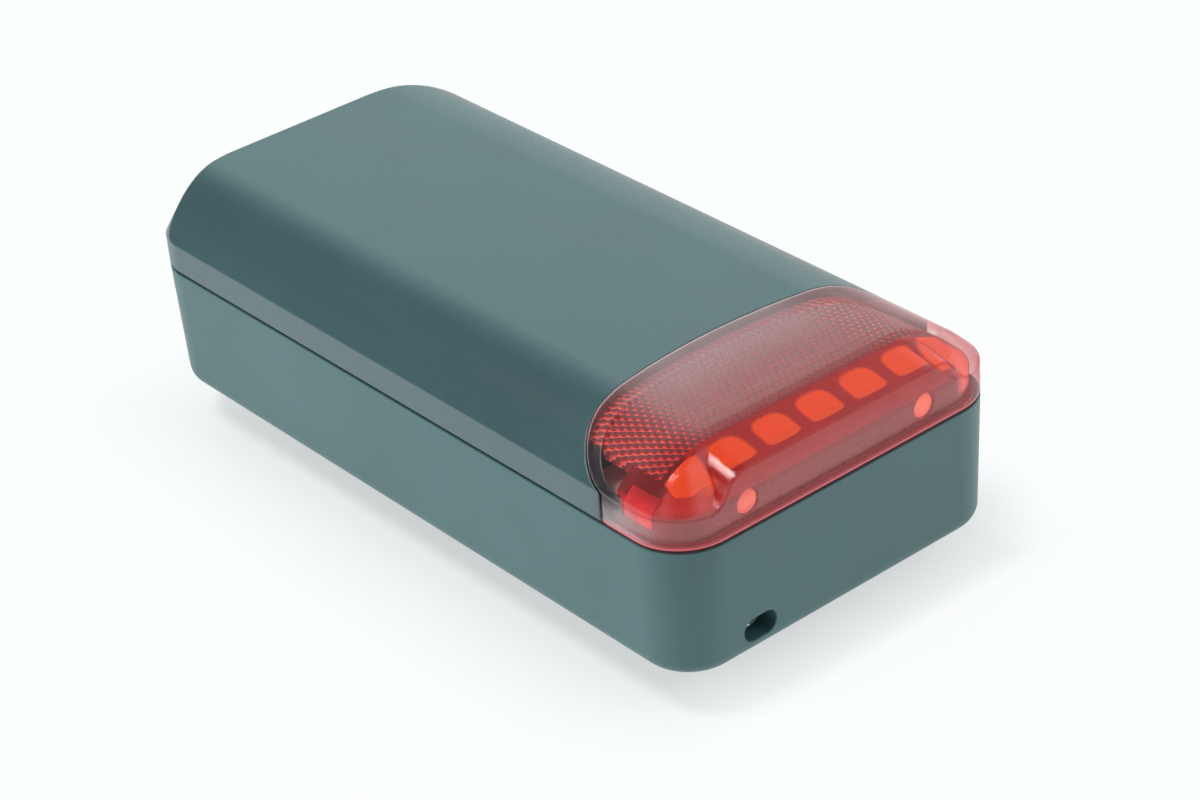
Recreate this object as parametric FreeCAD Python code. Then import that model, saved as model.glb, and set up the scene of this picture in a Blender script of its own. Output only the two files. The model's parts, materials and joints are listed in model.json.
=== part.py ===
import FreeCAD, Part
import math
import os

# Bike radar tail light, lying on its mount with the radar window up.
# X runs along the case towards the light, Y across it, and Z out of the radar window.
# The origin is the centre of the end face of the quarter-turn mount. Millimetres.

# Case
body_length = 98.0
body_width = 48.46
body_height = 25.6
corner_r = 6.55
far_corner_top_r = 14.0
shoulder_r = 13.26
chamfer_angle = math.radians(44.3)
chamfer_height = 20.35
part_gap = 0.45

# Rear housing
housing_height = 16.32
housing_wall = 2.2
housing_floor = 2.0
wall_draft = math.radians(1.8)
back_edge_r = 2.0

# Front cover and lens
cover_wall = 1.6
lens_wall = 1.2
seam_gap = 0.15
lens_length_middle = 21.5
lens_length_side = 12.0
seam_side_r = 9.4
seam_overshoot = 0.15
tongue_reach = 1.6
tongue_root = 2.0
tongue_thickness = 1.0
tongue_play = 0.25
brow_height = 24.0
brow_flat_half = 14.0
brow_foot_half = 19.6
ridge_setback = 6.8

# Seal between the shells
seal_inset = 0.7
seal_width = 0.8
seal_depth = 0.6

# Light unit
layer_gap = 0.12
bezel_thickness = 1.1
bezel_side_reach = 11.2
reflector_thickness = 1.2
reflector_border = 2.0
reflector_lower_edge = 1.9
diffuser_thickness = 0.9
diffuser_foot = 1.0
window_length = 3.0
window_width = 4.3
window_pitch = 6.35
window_setback = 2.9
corner_window_inset = 6.03
corner_window_setback = 3.2
window_foot = 0.9
window_play = 0.08
side_window_length = 4.4
side_window_setback = 5.4
side_window_low = 17.9
side_window_high = 21.2
side_guide_thickness = 1.7
stud_r = 1.5
stud_half_pitch = 13.0
stud_height = 18.7
stud_length = 1.6
led_board_height = 18.0
led_board_thickness = 1.2
led_board_inset = 3.2
led_board_length = 15.0
spreader_thickness = 1.6
led_size = 3.0
led_thickness = 0.8
led_setback = 4.8
corner_led_setback = 6.3
led_screw_half_pitch = 15.0
led_screw_setback = 12.5
led_post_width = 4.4
led_post_inset = 5.0
led_post_y = 5.0
ribbon_width = 8.0
ribbon_thickness = 0.3
ribbon_y = 6.0
ribbon_lap = 2.5

# Battery and chassis
battery_length = 50.0
battery_side_room = 7.23
battery_end_room = 2.8
battery_thickness = 7.8
battery_edge_r = 1.5
foam_thickness = 0.6
foam_margin = 2.0
battery_rib_height = 4.0
battery_rib_thickness = 1.0
battery_rib_length = 8.0
battery_rib_half_pitch = 9.0
chassis_thickness = 1.3
chassis_play = 0.3
chassis_window_length = 15.0
chassis_window_width = 20.0
chassis_window_gap = 4.0
skirt_wall = 1.0
skirt_depth = 7.4
ledge_width = 3.6
ledge_inset = 4.0
ledge_screw_gap = 6.5

# Boards
board_thickness = 1.0
board_side_gap = 2.6
board_tongue_half = 8.0
board_stud_height = 1.4
board_stud_r = 2.2
radar_board_length = 50.0
radar_board_width = 30.0
radar_board_thickness = 0.8
radome_gap = 2.7
spacer_r = 2.1
screw_edge_distance = 3.4
patch_size = 3.4
patch_thickness = 0.1
patch_rows = 4
patch_columns = 6
patch_pitch = 6.4
shield_length = 22.0
shield_width = 18.0
shield_height = 2.6
shield_wall = 0.4
connector_shift = 16.0
connector_length = 12.0
connector_width = 3.4
connector_socket_share = 0.55
connector_shoulder = 0.5

# Screws
case_screw_r = 1.0
case_screw_head_r = 1.9
case_screw_head_height = 1.4
case_screw_grip = 4.0
case_boss_r = 2.75
case_boss_split = 12.0
case_counterbore = 2.4
far_screw_setback = 7.0
far_screw_half_y = 16.8
waist_screw_x = 20.5
waist_screw_inset = 5.2
board_screw_r = 0.8
board_screw_head_r = 1.5
board_screw_head_height = 0.9
board_screw_bite = 1.2
led_screw_bite = 4.0
hole_play = 0.1

# Quarter-turn mount on the back
mount_height = 5.2
mount_flange_r = 17.0
mount_flange_thickness = 1.5
mount_neck_r = 11.0
mount_wing_r = 15.5
mount_wing_thickness = 1.8
mount_wing_half_angle = math.radians(32.0)
mount_detent_r = 0.8
mount_screw_circle_r = 14.2
mount_screw_angle = math.radians(40.0)
mount_screw_r = 1.1
mount_screw_head_r = 1.9
mount_screw_head_height = 1.2
mount_screw_depth = 1.6

# Charging port and its door
usb_width = 8.94
usb_height = 3.2
usb_length = 7.3
usb_wall = 0.35
usb_back_wall = 1.0
usb_blade_width = 6.7
usb_blade_thickness = 0.7
usb_blade_setback = 0.8
bulkhead_depth = 2.1
bulkhead_margin = 2.0
door_width = 20.6
door_top_margin = 1.2
door_drop = 4.8
door_thickness = 2.05
door_corner_r = 1.6
door_pocket_depth = 2.9
door_gap = 0.25
door_lip_gap = 0.45
door_knuckle_r = 1.1
door_knuckle_inset = 1.2
door_pin_r = 0.5
door_pin_play = 0.05
door_pin_grip = 1.2
door_plug_length = 7.6
door_plug_width = 1.9
door_plug_height = 0.5
nail_notch_r = 3.2
nail_notch_depth = 0.7
nail_notch_rise = 0.4

# Power button and status light on the long side away from the lanyard slot
button_x = 4.0
button_height = 6.9
button_length = 13.0
button_width = 5.6
button_gap = 0.15
button_proud = 0.1
button_travel = 0.5
button_flange = 0.7
button_flange_thickness = 0.7
button_rest_gap = 0.1
button_stem_r = 1.6
button_seal_width = 0.7
button_seal_depth = 0.7
button_seal_setback = 0.8
button_seal_play = 0.04
switch_board_x0 = -9.5
switch_board_x1 = 11.0
switch_board_drop = 0.3
switch_board_thickness = 0.6
switch_size = 4.4
switch_thickness = 1.1
plunger_r = 1.2
plunger_tail = 0.4
plunger_play = 0.05
stem_gap = 0.05
status_x = -7.0
status_led_size = 1.6
status_led_thickness = 0.7
light_pipe_r = 0.9
light_pipe_gap = 0.2

# Lanyard slot in the end wall, and vent in the back
slot_y = -13.0
slot_width = 4.7
slot_height = 3.0
slot_centre_height = 3.3
slot_reach = 5.7
slot_bar = 3.0
slot_block_margin = 1.6
vent_x = 30.0
vent_y = -12.0
vent_r = 2.5
vent_hole_r = 0.8
vent_recess = 0.5
vent_thickness = 0.3
vent_play = 0.05

# Small parts on the main board: place, size and height, from the radar board's centre
middle_components = [
    (-3.0, 3.0, 9.0, 9.0, 1.1),
    (-14.0, -4.0, 6.0, 8.0, 0.9),
    (-16.0, 7.0, 3.2, 3.2, 1.5),
    (-12.0, 9.0, 3.2, 3.2, 1.5),
    (-6.0, -9.0, 4.0, 3.0, 0.8),
    (6.0, -5.0, 5.0, 5.0, 0.9),
    (-1.0, 12.5, 2.5, 2.0, 0.6),
]
# The same from the radar board's end next to the light
end_components = [
    (1.2, -8.0, 4.0, 6.0, 1.6),
    (2.2, 13.0, 3.0, 3.0, 0.8),
]

# Places worked out from the sizes above
half_length = body_length / 2
half_width = body_width / 2
far_side = body_length + body_width
back_z = mount_height
floor_z = back_z + housing_floor
rim_z = back_z + housing_height
shell_z = rim_z + part_gap
crisp_z = back_z + chamfer_height
top_z = back_z + body_height
sin_chamfer = math.sin(chamfer_angle)
cos_chamfer = math.cos(chamfer_angle)
tan_chamfer = math.tan(chamfer_angle)
shoulder_rise = (chamfer_height - body_height + shoulder_r) * cos_chamfer - shoulder_r
shoulder_y = half_width + shoulder_rise / sin_chamfer
band_slope = (body_height - brow_height) / ridge_setback
ridge_x = half_length - ridge_setback
bezel_inset = lens_wall + layer_gap
bezel_back = bezel_inset + bezel_thickness
diffuser_inset = bezel_back + layer_gap
corner_window_y = half_width - corner_window_inset
strip_top_z = crisp_z + reflector_lower_edge
foam_top_z = floor_z + foam_thickness
battery_top_z = foam_top_z + battery_thickness
pocket_x = door_pocket_depth - half_length
bulkhead_x = pocket_x + bulkhead_depth
usb_x1 = pocket_x + usb_length
battery_x0 = usb_x1 + battery_end_room
battery_x1 = battery_x0 + battery_length
battery_width = body_width - 2 * battery_side_room
radar_x1 = battery_x0 + radar_board_length
radar_centre_x = (battery_x0 + radar_x1) / 2
chassis_z = battery_top_z + chassis_play
chassis_top_z = chassis_z + chassis_thickness
board_z = chassis_top_z + board_stud_height
board_top_z = board_z + board_thickness
radar_top_z = top_z - cover_wall - radome_gap
radar_z = radar_top_z - radar_board_thickness
led_top_z = back_z + led_board_height
led_board_z = led_top_z - led_board_thickness
spreader_z = led_board_z - spreader_thickness
led_board_x = half_length - led_board_inset - led_board_length
led_screw_x = half_length - led_screw_setback
led_screw_points = [(led_screw_x, -led_screw_half_pitch), (led_screw_x, led_screw_half_pitch)]
split_z = back_z + case_boss_split
far_screw_x = far_screw_setback - half_length
waist_screw_y = half_width - waist_screw_inset
case_screw_points = [
    (far_screw_x, -far_screw_half_y),
    (far_screw_x, far_screw_half_y),
    (waist_screw_x, -waist_screw_y),
    (waist_screw_x, waist_screw_y),
]
screw_reach_x = radar_board_length / 2 - screw_edge_distance
screw_reach_y = radar_board_width / 2 - screw_edge_distance
board_screw_points = [
    (radar_centre_x + sx * screw_reach_x, sy * screw_reach_y)
    for sx in (-1, 1)
    for sy in (-1, 1)
]
mount_screw_points = [
    (
        mount_screw_circle_r * math.cos(half_turn + side * mount_screw_angle),
        mount_screw_circle_r * math.sin(half_turn + side * mount_screw_angle),
    )
    for half_turn in (0.0, math.pi)
    for side in (-1, 1)
]
usb_z = board_z - usb_height / 2
door_top_z = board_z + door_top_margin
hinge_z = usb_z - door_drop
skirt_inner = battery_width / 2 + chassis_play
skirt_outer = skirt_inner + skirt_wall
skirt_z = chassis_z - skirt_depth
button_z = back_z + button_height


def wall_shift(z):
    """How far the drafted outer wall stands in from the rim's outline at height z."""
    return (rim_z - z) * math.tan(wall_draft)


def inner_half(z):
    """Half the clear width inside the rear housing at height z."""
    return half_width - wall_shift(z) - housing_wall


hinge_x = wall_shift(hinge_z) + door_knuckle_inset - half_length
door_inner_x = door_thickness - half_length
flange_outer_y = inner_half(button_z - button_width / 2 - button_flange) - button_rest_gap
flange_inner_y = flange_outer_y - button_flange_thickness
switch_board_y = skirt_outer + switch_board_thickness
switch_top_y = switch_board_y + switch_thickness
plunger_tip_y = switch_top_y + button_travel
button_face_y = half_width - wall_shift(button_z) + button_proud
chassis_half = inner_half(chassis_z) - chassis_play
board_x0 = battery_x0 - chassis_play
board_x1 = waist_screw_x
board_half = inner_half(board_z) - board_side_gap


def vec(x, y, z):
    return FreeCAD.Vector(x, y, z)


def box(x0, x1, y0, y1, z0, z1):
    return Part.makeBox(x1 - x0, y1 - y0, z1 - z0, vec(x0, y0, z0))


def post(x, y, z0, z1, r):
    return Part.makeCylinder(r, z1 - z0, vec(x, y, z0))


def rod_x(x0, x1, y, z, r):
    return Part.makeCylinder(r, x1 - x0, vec(x0, y, z), vec(1, 0, 0))


def rod_y(x, y0, y1, z, r):
    return Part.makeCylinder(r, y1 - y0, vec(x, y0, z), vec(0, 1, 0))


def line(start, end):
    return Part.makeLine(start, end)


def arc(start, middle, end):
    return Part.Arc(start, middle, end).toShape()


def prism(edges, depth):
    """Solid made by pushing a closed flat outline along a vector."""
    return Part.Face(Part.Wire(edges)).extrude(depth)


def fused(shapes):
    whole = shapes[0]
    if len(shapes) > 1:
        whole = whole.multiFuse(shapes[1:])
    return whole.removeSplitter()


def cut_all(shape, tools):
    return shape.cut(Part.makeCompound(tools))


def capsule(centre, along, across, length, width, depth):
    """Solid with a round-ended outline: length along one way, width across, pushed by depth."""
    r = width / 2
    reach = along * (length / 2 - r)
    side = across * r
    tip = along * r
    edges = [
        line(centre - reach + side, centre + reach + side),
        arc(centre + reach + side, centre + reach + tip, centre + reach - side),
        line(centre + reach - side, centre - reach - side),
        arc(centre - reach - side, centre - reach - tip, centre - reach + side),
    ]
    return prism(edges, depth)


def capsule_y(x, z, length, width, y0, y1):
    return capsule(vec(x, y0, z), vec(1, 0, 0), vec(0, 0, 1), length, width, vec(0, y1 - y0, 0))


def capsule_x(y, z, length, width, x0, x1):
    return capsule(vec(x0, y, z), vec(0, 1, 0), vec(0, 0, 1), length, width, vec(x1 - x0, 0, 0))


def outline(inset, z, far_r=corner_r):
    """Rounded rectangle of the case at height z, drawn in from its sides by inset."""
    x0 = inset - half_length
    x1 = half_length - inset
    y1 = half_width - inset
    smallest_r = 0.3
    far = max(far_r - inset, smallest_r)
    near = max(corner_r - inset, smallest_r)
    corners = [
        (x0 + far, far - y1, far, 180),
        (x1 - near, near - y1, near, 270),
        (x1 - near, y1 - near, near, 0),
        (x0 + far, y1 - far, far, 90),
    ]
    arcs = []
    for x, y, r, start in corners:
        turns = [math.radians(start + step) for step in (0, 45, 90)]
        arcs.append([vec(x + r * math.cos(a), y + r * math.sin(a), z) for a in turns])
    edges = []
    for index, points in enumerate(arcs):
        following = arcs[(index + 1) % len(arcs)]
        edges.append(arc(*points))
        edges.append(line(points[2], following[0]))
    return Part.Wire(edges)


def column(inset, z0, z1):
    return Part.Face(outline(inset, z0)).extrude(vec(0, 0, z1 - z0))


def crisp_height(inset):
    """Height of the edge between wall and chamfer on a surface set in by inset."""
    return crisp_z - inset * (1 - sin_chamfer) / cos_chamfer


def section_prism(inset, low_z, chamfered=True):
    """Flat top, round shoulders and side chamfers, set in by inset and run along the case.

    It is wider than the case, whose plan cuts it to the walls. Without its chamfers the sides
    run straight out from the shoulders.
    """
    x = -half_length
    wide = half_width + 1
    r = shoulder_r - inset
    centre_z = top_z - shoulder_r
    half_angle = chamfer_angle / 2
    start = (shoulder_y + r * sin_chamfer, centre_z + r * cos_chamfer)
    middle = (shoulder_y + r * math.sin(half_angle), centre_z + r * math.cos(half_angle))
    end = (shoulder_y, centre_z + r)
    side_z = start[1]
    if chamfered:
        side_z -= (wide - start[0]) * tan_chamfer
    right = [vec(x, y, z) for y, z in ((wide, low_z), (wide, side_z), start, middle, end)]
    left = [vec(x, -p.y, p.z) for p in right]
    edges = [
        line(left[0], left[1]),
        line(left[1], left[2]),
        arc(left[2], left[3], left[4]),
        line(left[4], right[4]),
        arc(right[4], right[3], right[2]),
        line(right[2], right[1]),
        line(right[1], right[0]),
        line(right[0], left[0]),
    ]
    return prism(edges, vec(body_length, 0, 0))


def crown(inset, low_z):
    """Domed outside of the cover: the section along X, within a plan whose far corners open up."""
    opening = (far_corner_top_r - corner_r) / (top_z - crisp_z)
    wires = [
        outline(inset, low_z),
        outline(inset, crisp_z),
        outline(inset, top_z + 1, far_corner_top_r + opening),
    ]
    plan = Part.makeLoft(wires, True, True)
    return section_prism(inset, low_z).common(plan)


def brow_prism(inset, low_z):
    """The raised middle of the lens: it rises to the ridge and falls to the corners in two arcs."""
    shift = inset / 2
    front_z = back_z + brow_height - inset * (math.hypot(1, band_slope) - band_slope)
    a = vec(half_length - inset, brow_flat_half - shift, front_z)
    round_r = corner_r - inset
    past = brow_foot_half - shift - half_width + corner_r
    set_back = round_r - math.sqrt(round_r ** 2 - past ** 2)
    foot_z = crisp_height(inset) - set_back * band_slope
    b = vec(half_length - inset, brow_foot_half - shift, foot_z)
    run = b.y - a.y
    fall = a.z - b.z
    r = (run * run + fall * fall) / (4 * fall)
    half_turn = math.atan2(fall, run)
    side = r * math.sin(half_turn)
    drop = r - r * math.cos(half_turn)
    middle = (a + b) * 0.5
    upper = vec(a.x, a.y + side, a.z - drop)
    lower = vec(a.x, b.y - side, b.z + drop)
    right = [vec(a.x, b.y, low_z), b, lower, middle, upper, a]
    left = [vec(p.x, -p.y, p.z) for p in right]
    edges = [
        line(right[0], right[1]),
        arc(right[1], right[2], right[3]),
        arc(right[3], right[4], right[5]),
        line(right[5], left[5]),
        arc(left[5], left[4], left[3]),
        arc(left[3], left[2], left[1]),
        line(left[1], left[0]),
        line(left[0], right[0]),
    ]
    return prism(edges, vec(-half_length, 0, half_length * band_slope))


def slope_prism(inset, low_z):
    """Space under the gentle slope that falls from the ridge to the brow."""
    end_z = back_z + brow_height - inset * math.hypot(1, band_slope)
    y = -half_width - 1
    points = [
        vec(-half_length, y, low_z),
        vec(half_length, y, low_z),
        vec(half_length, y, end_z),
        vec(-half_length, y, end_z + body_length * band_slope),
    ]
    return prism([Part.makePolygon(points + points[:1])], vec(0, -2 * y, 0))


def lens_form(inset, low_z):
    """Outside of the light end, set in by inset: the chamfer turns the corners under the brow."""
    foot = crisp_height(inset)
    loft_top = top_z + 1
    spread = (loft_top - foot) / tan_chamfer
    wires = [outline(inset, low_z), outline(inset, foot), outline(inset + spread, loft_top)]
    corner_x = half_length - corner_r
    behind = box(0, corner_x, -half_width, half_width, low_z, loft_top)
    ahead = box(corner_x, half_length, -half_width, half_width, low_z, loft_top)
    plan = column(inset, low_z, loft_top)
    straight = section_prism(inset, low_z).common(plan).common(behind)
    rounded = section_prism(inset, low_z, False).common(ahead)
    wrapped = Part.makeLoft(wires, True, True).common(rounded)
    raised = brow_prism(inset, low_z).common(plan).common(rounded)
    return fused([straight, wrapped, raised]).common(slope_prism(inset, low_z))


def behind_seam(shift):
    """Space behind the bowed seam between cover and lens, moved by shift towards the lens."""
    side_x = half_length - lens_length_side
    middle_x = half_length - lens_length_middle
    short = seam_side_r - seam_overshoot
    centre = vec(side_x + math.sqrt(seam_side_r ** 2 - short ** 2), half_width - short, 0)
    dx = centre.x - middle_x
    bow_r = (dx ** 2 + centre.y ** 2 - seam_side_r ** 2) / (2 * (dx - seam_side_r))
    bow = vec(middle_x + bow_r, 0, 0)
    towards = (centre - bow).normalize()
    r = seam_side_r - shift
    turn = (math.pi / 2 + math.atan2(towards.y, towards.x)) / 2
    tip = centre + vec(0, r, 0)
    shoulder = centre + vec(math.cos(turn), math.sin(turn), 0) * r
    join = bow + towards * (bow_r - shift)
    outer = half_width + seam_side_r
    back = -far_side
    right = [vec(back, outer, 0), vec(tip.x, outer, 0), tip, shoulder, join]
    left = [vec(p.x, -p.y, 0) for p in right]
    edges = [
        line(right[0], right[1]),
        line(right[1], right[2]),
        arc(right[2], right[3], right[4]),
        arc(right[4], vec(middle_x + shift, 0, 0), left[4]),
        arc(left[4], left[3], left[2]),
        line(left[2], left[1]),
        line(left[1], left[0]),
        line(left[0], right[0]),
    ]
    return prism(edges, vec(0, 0, top_z + 1))


def window_boxes(play):
    """The light windows in the bezel, smaller on every side by play."""
    boxes = []
    spots = [(step * window_pitch, window_setback) for step in (-2, -1, 0, 1, 2)]
    spots += [(side * corner_window_y, corner_window_setback) for side in (-1, 1)]
    for y, setback in spots:
        x1 = half_length - setback - play
        x0 = half_length - setback - window_length + play
        half = window_width / 2 - play
        boxes.append(box(x0, x1, y - half, y + half, crisp_z + window_foot + play, top_z))
    return boxes


def side_window_boxes(play):
    x1 = half_length - side_window_setback - play
    x0 = x1 - side_window_length + 2 * play
    low = back_z + side_window_low + play
    high = back_z + side_window_high - play
    inner = half_width / 2
    outer = half_width + 1
    return [box(x0, x1, inner, outer, low, high), box(x0, x1, -outer, -inner, low, high)]


def stud_rods(r):
    x1 = half_length - bezel_inset
    z = back_z + stud_height
    return [rod_x(x1 - stud_length, x1, side * stud_half_pitch, z, r) for side in (-1, 1)]


def make_housing_outside():
    wires = [outline(wall_shift(back_z), back_z), outline(0, rim_z)]
    body = Part.makeLoft(wires, True, True)
    low_edges = [e for e in body.Edges if e.BoundBox.ZMax < back_z + back_edge_r / 2]
    return body.makeFillet(back_edge_r, low_edges)


def make_door_pocket():
    """Pocket in the far end wall for the port door, with its two upper corners rounded."""
    half = door_width / 2 + door_gap
    low = hinge_z - door_knuckle_r - door_lip_gap
    high = door_top_z + door_gap
    pocket = box(-far_side, pocket_x, -half, half, low, high)
    top_edges = [e for e in pocket.Edges if e.BoundBox.ZMin > high - 0.1 and e.BoundBox.XLength > 1]
    return pocket.makeFillet(door_corner_r, top_edges)


def make_nail_notch():
    x = nail_notch_depth - nail_notch_r - half_length
    return Part.makeSphere(nail_notch_r, vec(x, 0, door_top_z + nail_notch_rise))


def make_lanyard_tunnel():
    """Slot in the end wall that turns down and leaves through the back, round a bar."""
    z = back_z + slot_centre_height
    inner_x = half_length - slot_reach
    entry = capsule_x(slot_y, z, slot_width, slot_height, inner_x, far_side)
    half = slot_width / 2
    exit_x = half_length - slot_bar
    exit_way = box(inner_x, exit_x, slot_y - half, slot_y + half, 0, z)
    return fused([entry, exit_way])


def make_rear_housing(outside):
    cavity = Part.makeLoft(
        [
            outline(housing_wall + wall_shift(floor_z), floor_z),
            outline(housing_wall, rim_z),
            outline(housing_wall, shell_z),
        ],
        True,
        True,
    )
    block_half = door_width / 2 + bulkhead_margin
    bulkhead_low = hinge_z - door_knuckle_r - bulkhead_margin
    bulkhead = box(1 - half_length, bulkhead_x, -block_half, block_half, bulkhead_low, rim_z)
    slot_half = slot_width / 2 + slot_block_margin
    slot_top = back_z + slot_centre_height + slot_height / 2 + slot_block_margin
    slot_block_x = half_length - slot_reach - slot_block_margin
    slot_block = box(
        slot_block_x, half_length - 1, slot_y - slot_half, slot_y + slot_half, back_z + 1, slot_top
    )
    added = [bulkhead, slot_block]
    low = back_z + 1
    for x, y in case_screw_points:
        added.append(post(x, y, low, split_z, case_boss_r))
    for x, y in led_screw_points + [(half_length - led_post_inset, led_post_y)]:
        half = led_post_width / 2
        added.append(box(x - half, x + half, y - half, y + half, low, spreader_z))
    ledge_y = skirt_outer + chassis_play
    for x in (battery_x0 + ledge_inset, waist_screw_x - ledge_screw_gap):
        x0 = x - ledge_width / 2
        for y0, y1 in ((ledge_y, half_width - 1), (1 - half_width, -ledge_y)):
            added.append(box(x0, x0 + ledge_width, y0, y1, low, chassis_z))
    rib_z = floor_z + battery_rib_height
    rib_half = battery_rib_length / 2
    for x in (battery_x0 - chassis_play - battery_rib_thickness, battery_x1 + chassis_play):
        for y in (-battery_rib_half_pitch, battery_rib_half_pitch):
            added.append(box(x, x + battery_rib_thickness, y - rib_half, y + rib_half, low, rib_z))
    inner_parts = Part.makeCompound(added).common(outside)
    tub = fused([outside.cut(cavity), *inner_parts.Solids])
    groove = column(seal_inset, rim_z - seal_depth, shell_z).cut(
        column(seal_inset + seal_width, rim_z - seal_depth, shell_z)
    )
    cuts = [groove, make_door_pocket(), make_nail_notch(), make_lanyard_tunnel()]
    cuts.append(capsule_x(0, usb_z, usb_width + 2 * hole_play, usb_height + 2 * hole_play, pocket_x - 1, 0))
    grip = door_width / 2 + door_pin_grip
    cuts.append(rod_y(hinge_x, -grip, grip, hinge_z, door_pin_r))
    opening_length = button_length + 2 * button_gap
    opening_width = button_width + 2 * button_gap
    cuts.append(capsule_y(button_x, button_z, opening_length, opening_width, flange_outer_y, far_side))
    cuts.append(make_seal_blank(0))
    cuts.append(rod_y(status_x, skirt_outer, far_side, button_z, light_pipe_r))
    for x, y in case_screw_points:
        cuts.append(post(x, y, 0, split_z + 1, case_screw_r + hole_play))
        cuts.append(post(x, y, 0, back_z + case_counterbore, case_screw_head_r + hole_play))
    for x, y in led_screw_points:
        cuts.append(post(x, y, spreader_z - led_screw_bite, led_top_z, board_screw_r))
    for x, y in mount_screw_points:
        cuts.append(post(x, y, 0, back_z + mount_screw_depth, mount_screw_r))
    cuts.append(post(vent_x, vent_y, 0, back_z + vent_recess, vent_r))
    cuts.append(post(vent_x, vent_y, 0, floor_z + 1, vent_hole_r))
    return cut_all(tub, cuts)


def make_front_cover():
    shell = crown(0, shell_z).common(behind_seam(0)).cut(crown(cover_wall, shell_z - 1))
    under = lens_wall + layer_gap
    inner = crown(under + tongue_thickness, shell_z - 1)
    tongue = crown(under, shell_z).common(behind_seam(tongue_reach)).cut(inner)
    root = crown(cover_wall / 2, shell_z).common(behind_seam(-seam_gap)).cut(inner)
    lip = fused([tongue, root]).cut(behind_seam(-tongue_root))
    inside = crown(cover_wall / 2, split_z)
    bosses = [post(x, y, split_z, top_z, case_boss_r).common(inside) for x, y in case_screw_points]
    cover = fused([shell, lip, *bosses])
    holes = [post(x, y, split_z - 1, split_z + case_screw_grip, case_screw_r) for x, y in case_screw_points]
    return cut_all(cover, holes)


def make_lens(outside):
    hollow = lens_form(lens_wall, shell_z - 1)
    return outside.cut(hollow).cut(behind_seam(seam_gap))


def make_housing_seal():
    outer = column(seal_inset, rim_z - seal_depth, shell_z)
    return outer.cut(column(seal_inset + seal_width, rim_z - seal_depth, shell_z))


def make_reflector():
    plate = crown(bezel_inset, shell_z).cut(crown(bezel_inset + reflector_thickness, shell_z - 1))
    front = ridge_x - layer_gap
    plate = plate.common(box(-half_length, front, -half_width, half_width, strip_top_z, top_z))
    return plate.cut(behind_seam(reflector_border))


def make_bezel(outside, inside):
    front = box(ridge_x, half_length, -half_width, half_width, shell_z, top_z)
    side_x = half_length - bezel_side_reach
    strip = box(side_x, half_length, -half_width, half_width, shell_z, strip_top_z - layer_gap)
    strip = strip.cut(behind_seam(tongue_reach + tongue_play))
    shell = outside.cut(inside).common(fused([front, strip]))
    return cut_all(shell, window_boxes(0) + side_window_boxes(0) + stud_rods(stud_r + window_play))


def make_diffuser(bezel_outside):
    """Orange strip under the bezel, with a pad standing up into each window."""
    outer = lens_form(diffuser_inset, shell_z)
    inner = lens_form(diffuser_inset + diffuser_thickness, shell_z)
    low = crisp_z + diffuser_foot
    strip = outer.cut(inner).common(box(ridge_x, half_length, -half_width, half_width, low, top_z))
    core = lens_form(diffuser_inset + diffuser_thickness / 2, shell_z)
    pads = bezel_outside.cut(core).common(Part.makeCompound(window_boxes(window_play)))
    return fused([strip, *pads.Solids])


def make_side_guides(bezel_outside):
    core = lens_form(bezel_inset + side_guide_thickness, shell_z)
    return bezel_outside.cut(core).common(Part.makeCompound(side_window_boxes(window_play)))


def light_plate(z0, z1):
    """Plate with the plan of the light board between two heights."""
    area = box(led_board_x, half_length, -half_width, half_width, z0, z1)
    plate = column(led_board_inset, z0, z1).common(area)
    return cut_all(plate, [post(x, y, z0, z1, board_screw_r + hole_play) for x, y in led_screw_points])


def make_leds():
    half = led_size / 2
    spots = [(half_length - led_setback, step * window_pitch) for step in (-2, -1, 0, 1, 2)]
    spots += [(half_length - corner_led_setback, side * corner_window_y) for side in (-1, 1)]
    z1 = led_top_z + led_thickness
    return Part.makeCompound([box(x - half, x + half, y - half, y + half, led_top_z, z1) for x, y in spots])


def screw(x, y, head_z, shank_z, shank_r, head_r, head_height):
    """Screw along Z: its head sits on head_z, on the side away from the shank's end."""
    if shank_z < head_z:
        head = post(x, y, head_z, head_z + head_height, head_r)
        shank = post(x, y, shank_z, head_z, shank_r)
    else:
        head = post(x, y, head_z - head_height, head_z, head_r)
        shank = post(x, y, head_z, shank_z, shank_r)
    return fused([head, shank])


def screw_group(points, head_z, shank_z, shank_r, head_r, head_height):
    return Part.makeCompound(
        [screw(x, y, head_z, shank_z, shank_r, head_r, head_height) for x, y in points]
    )


def make_ribbon():
    """Flat cable from the main board up to the light board, in two equal bends."""
    lap_x = board_x1 - ribbon_lap
    a = vec(board_x1, ribbon_y - ribbon_width / 2, board_top_z)
    b = vec(led_board_x, a.y, led_top_z)
    run = b.x - a.x
    rise = b.z - a.z
    r = (run * run + rise * rise) / (4 * rise)
    half_turn = math.atan2(rise, run)
    side = r * math.sin(half_turn)
    drop = r - r * math.cos(half_turn)
    middle = (a + b) * 0.5
    up = vec(0, 0, ribbon_thickness)
    start = vec(lap_x, a.y, a.z)
    end = vec(led_board_x + ribbon_lap, a.y, b.z)
    lower = a + vec(side, 0, drop)
    upper = b - vec(side, 0, drop)
    edges = [
        line(start, a),
        arc(a, lower, middle),
        arc(middle, upper, b),
        line(b, end),
        line(end, end + up),
        line(end + up, b + up),
        arc(b + up, upper + up, middle + up),
        arc(middle + up, lower + up, a + up),
        line(a + up, start + up),
        line(start + up, start),
    ]
    return prism(edges, vec(0, ribbon_width, 0))


def make_battery():
    half = battery_width / 2
    cell = box(battery_x0, battery_x1, -half, half, foam_top_z, battery_top_z)
    long_edges = [e for e in cell.Edges if e.BoundBox.XLength > battery_length / 2]
    return cell.makeFillet(battery_edge_r, long_edges)


def make_foam():
    half = battery_width / 2 - foam_margin
    return box(battery_x0 + foam_margin, battery_x1 - foam_margin, -half, half, floor_z, foam_top_z)


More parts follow.
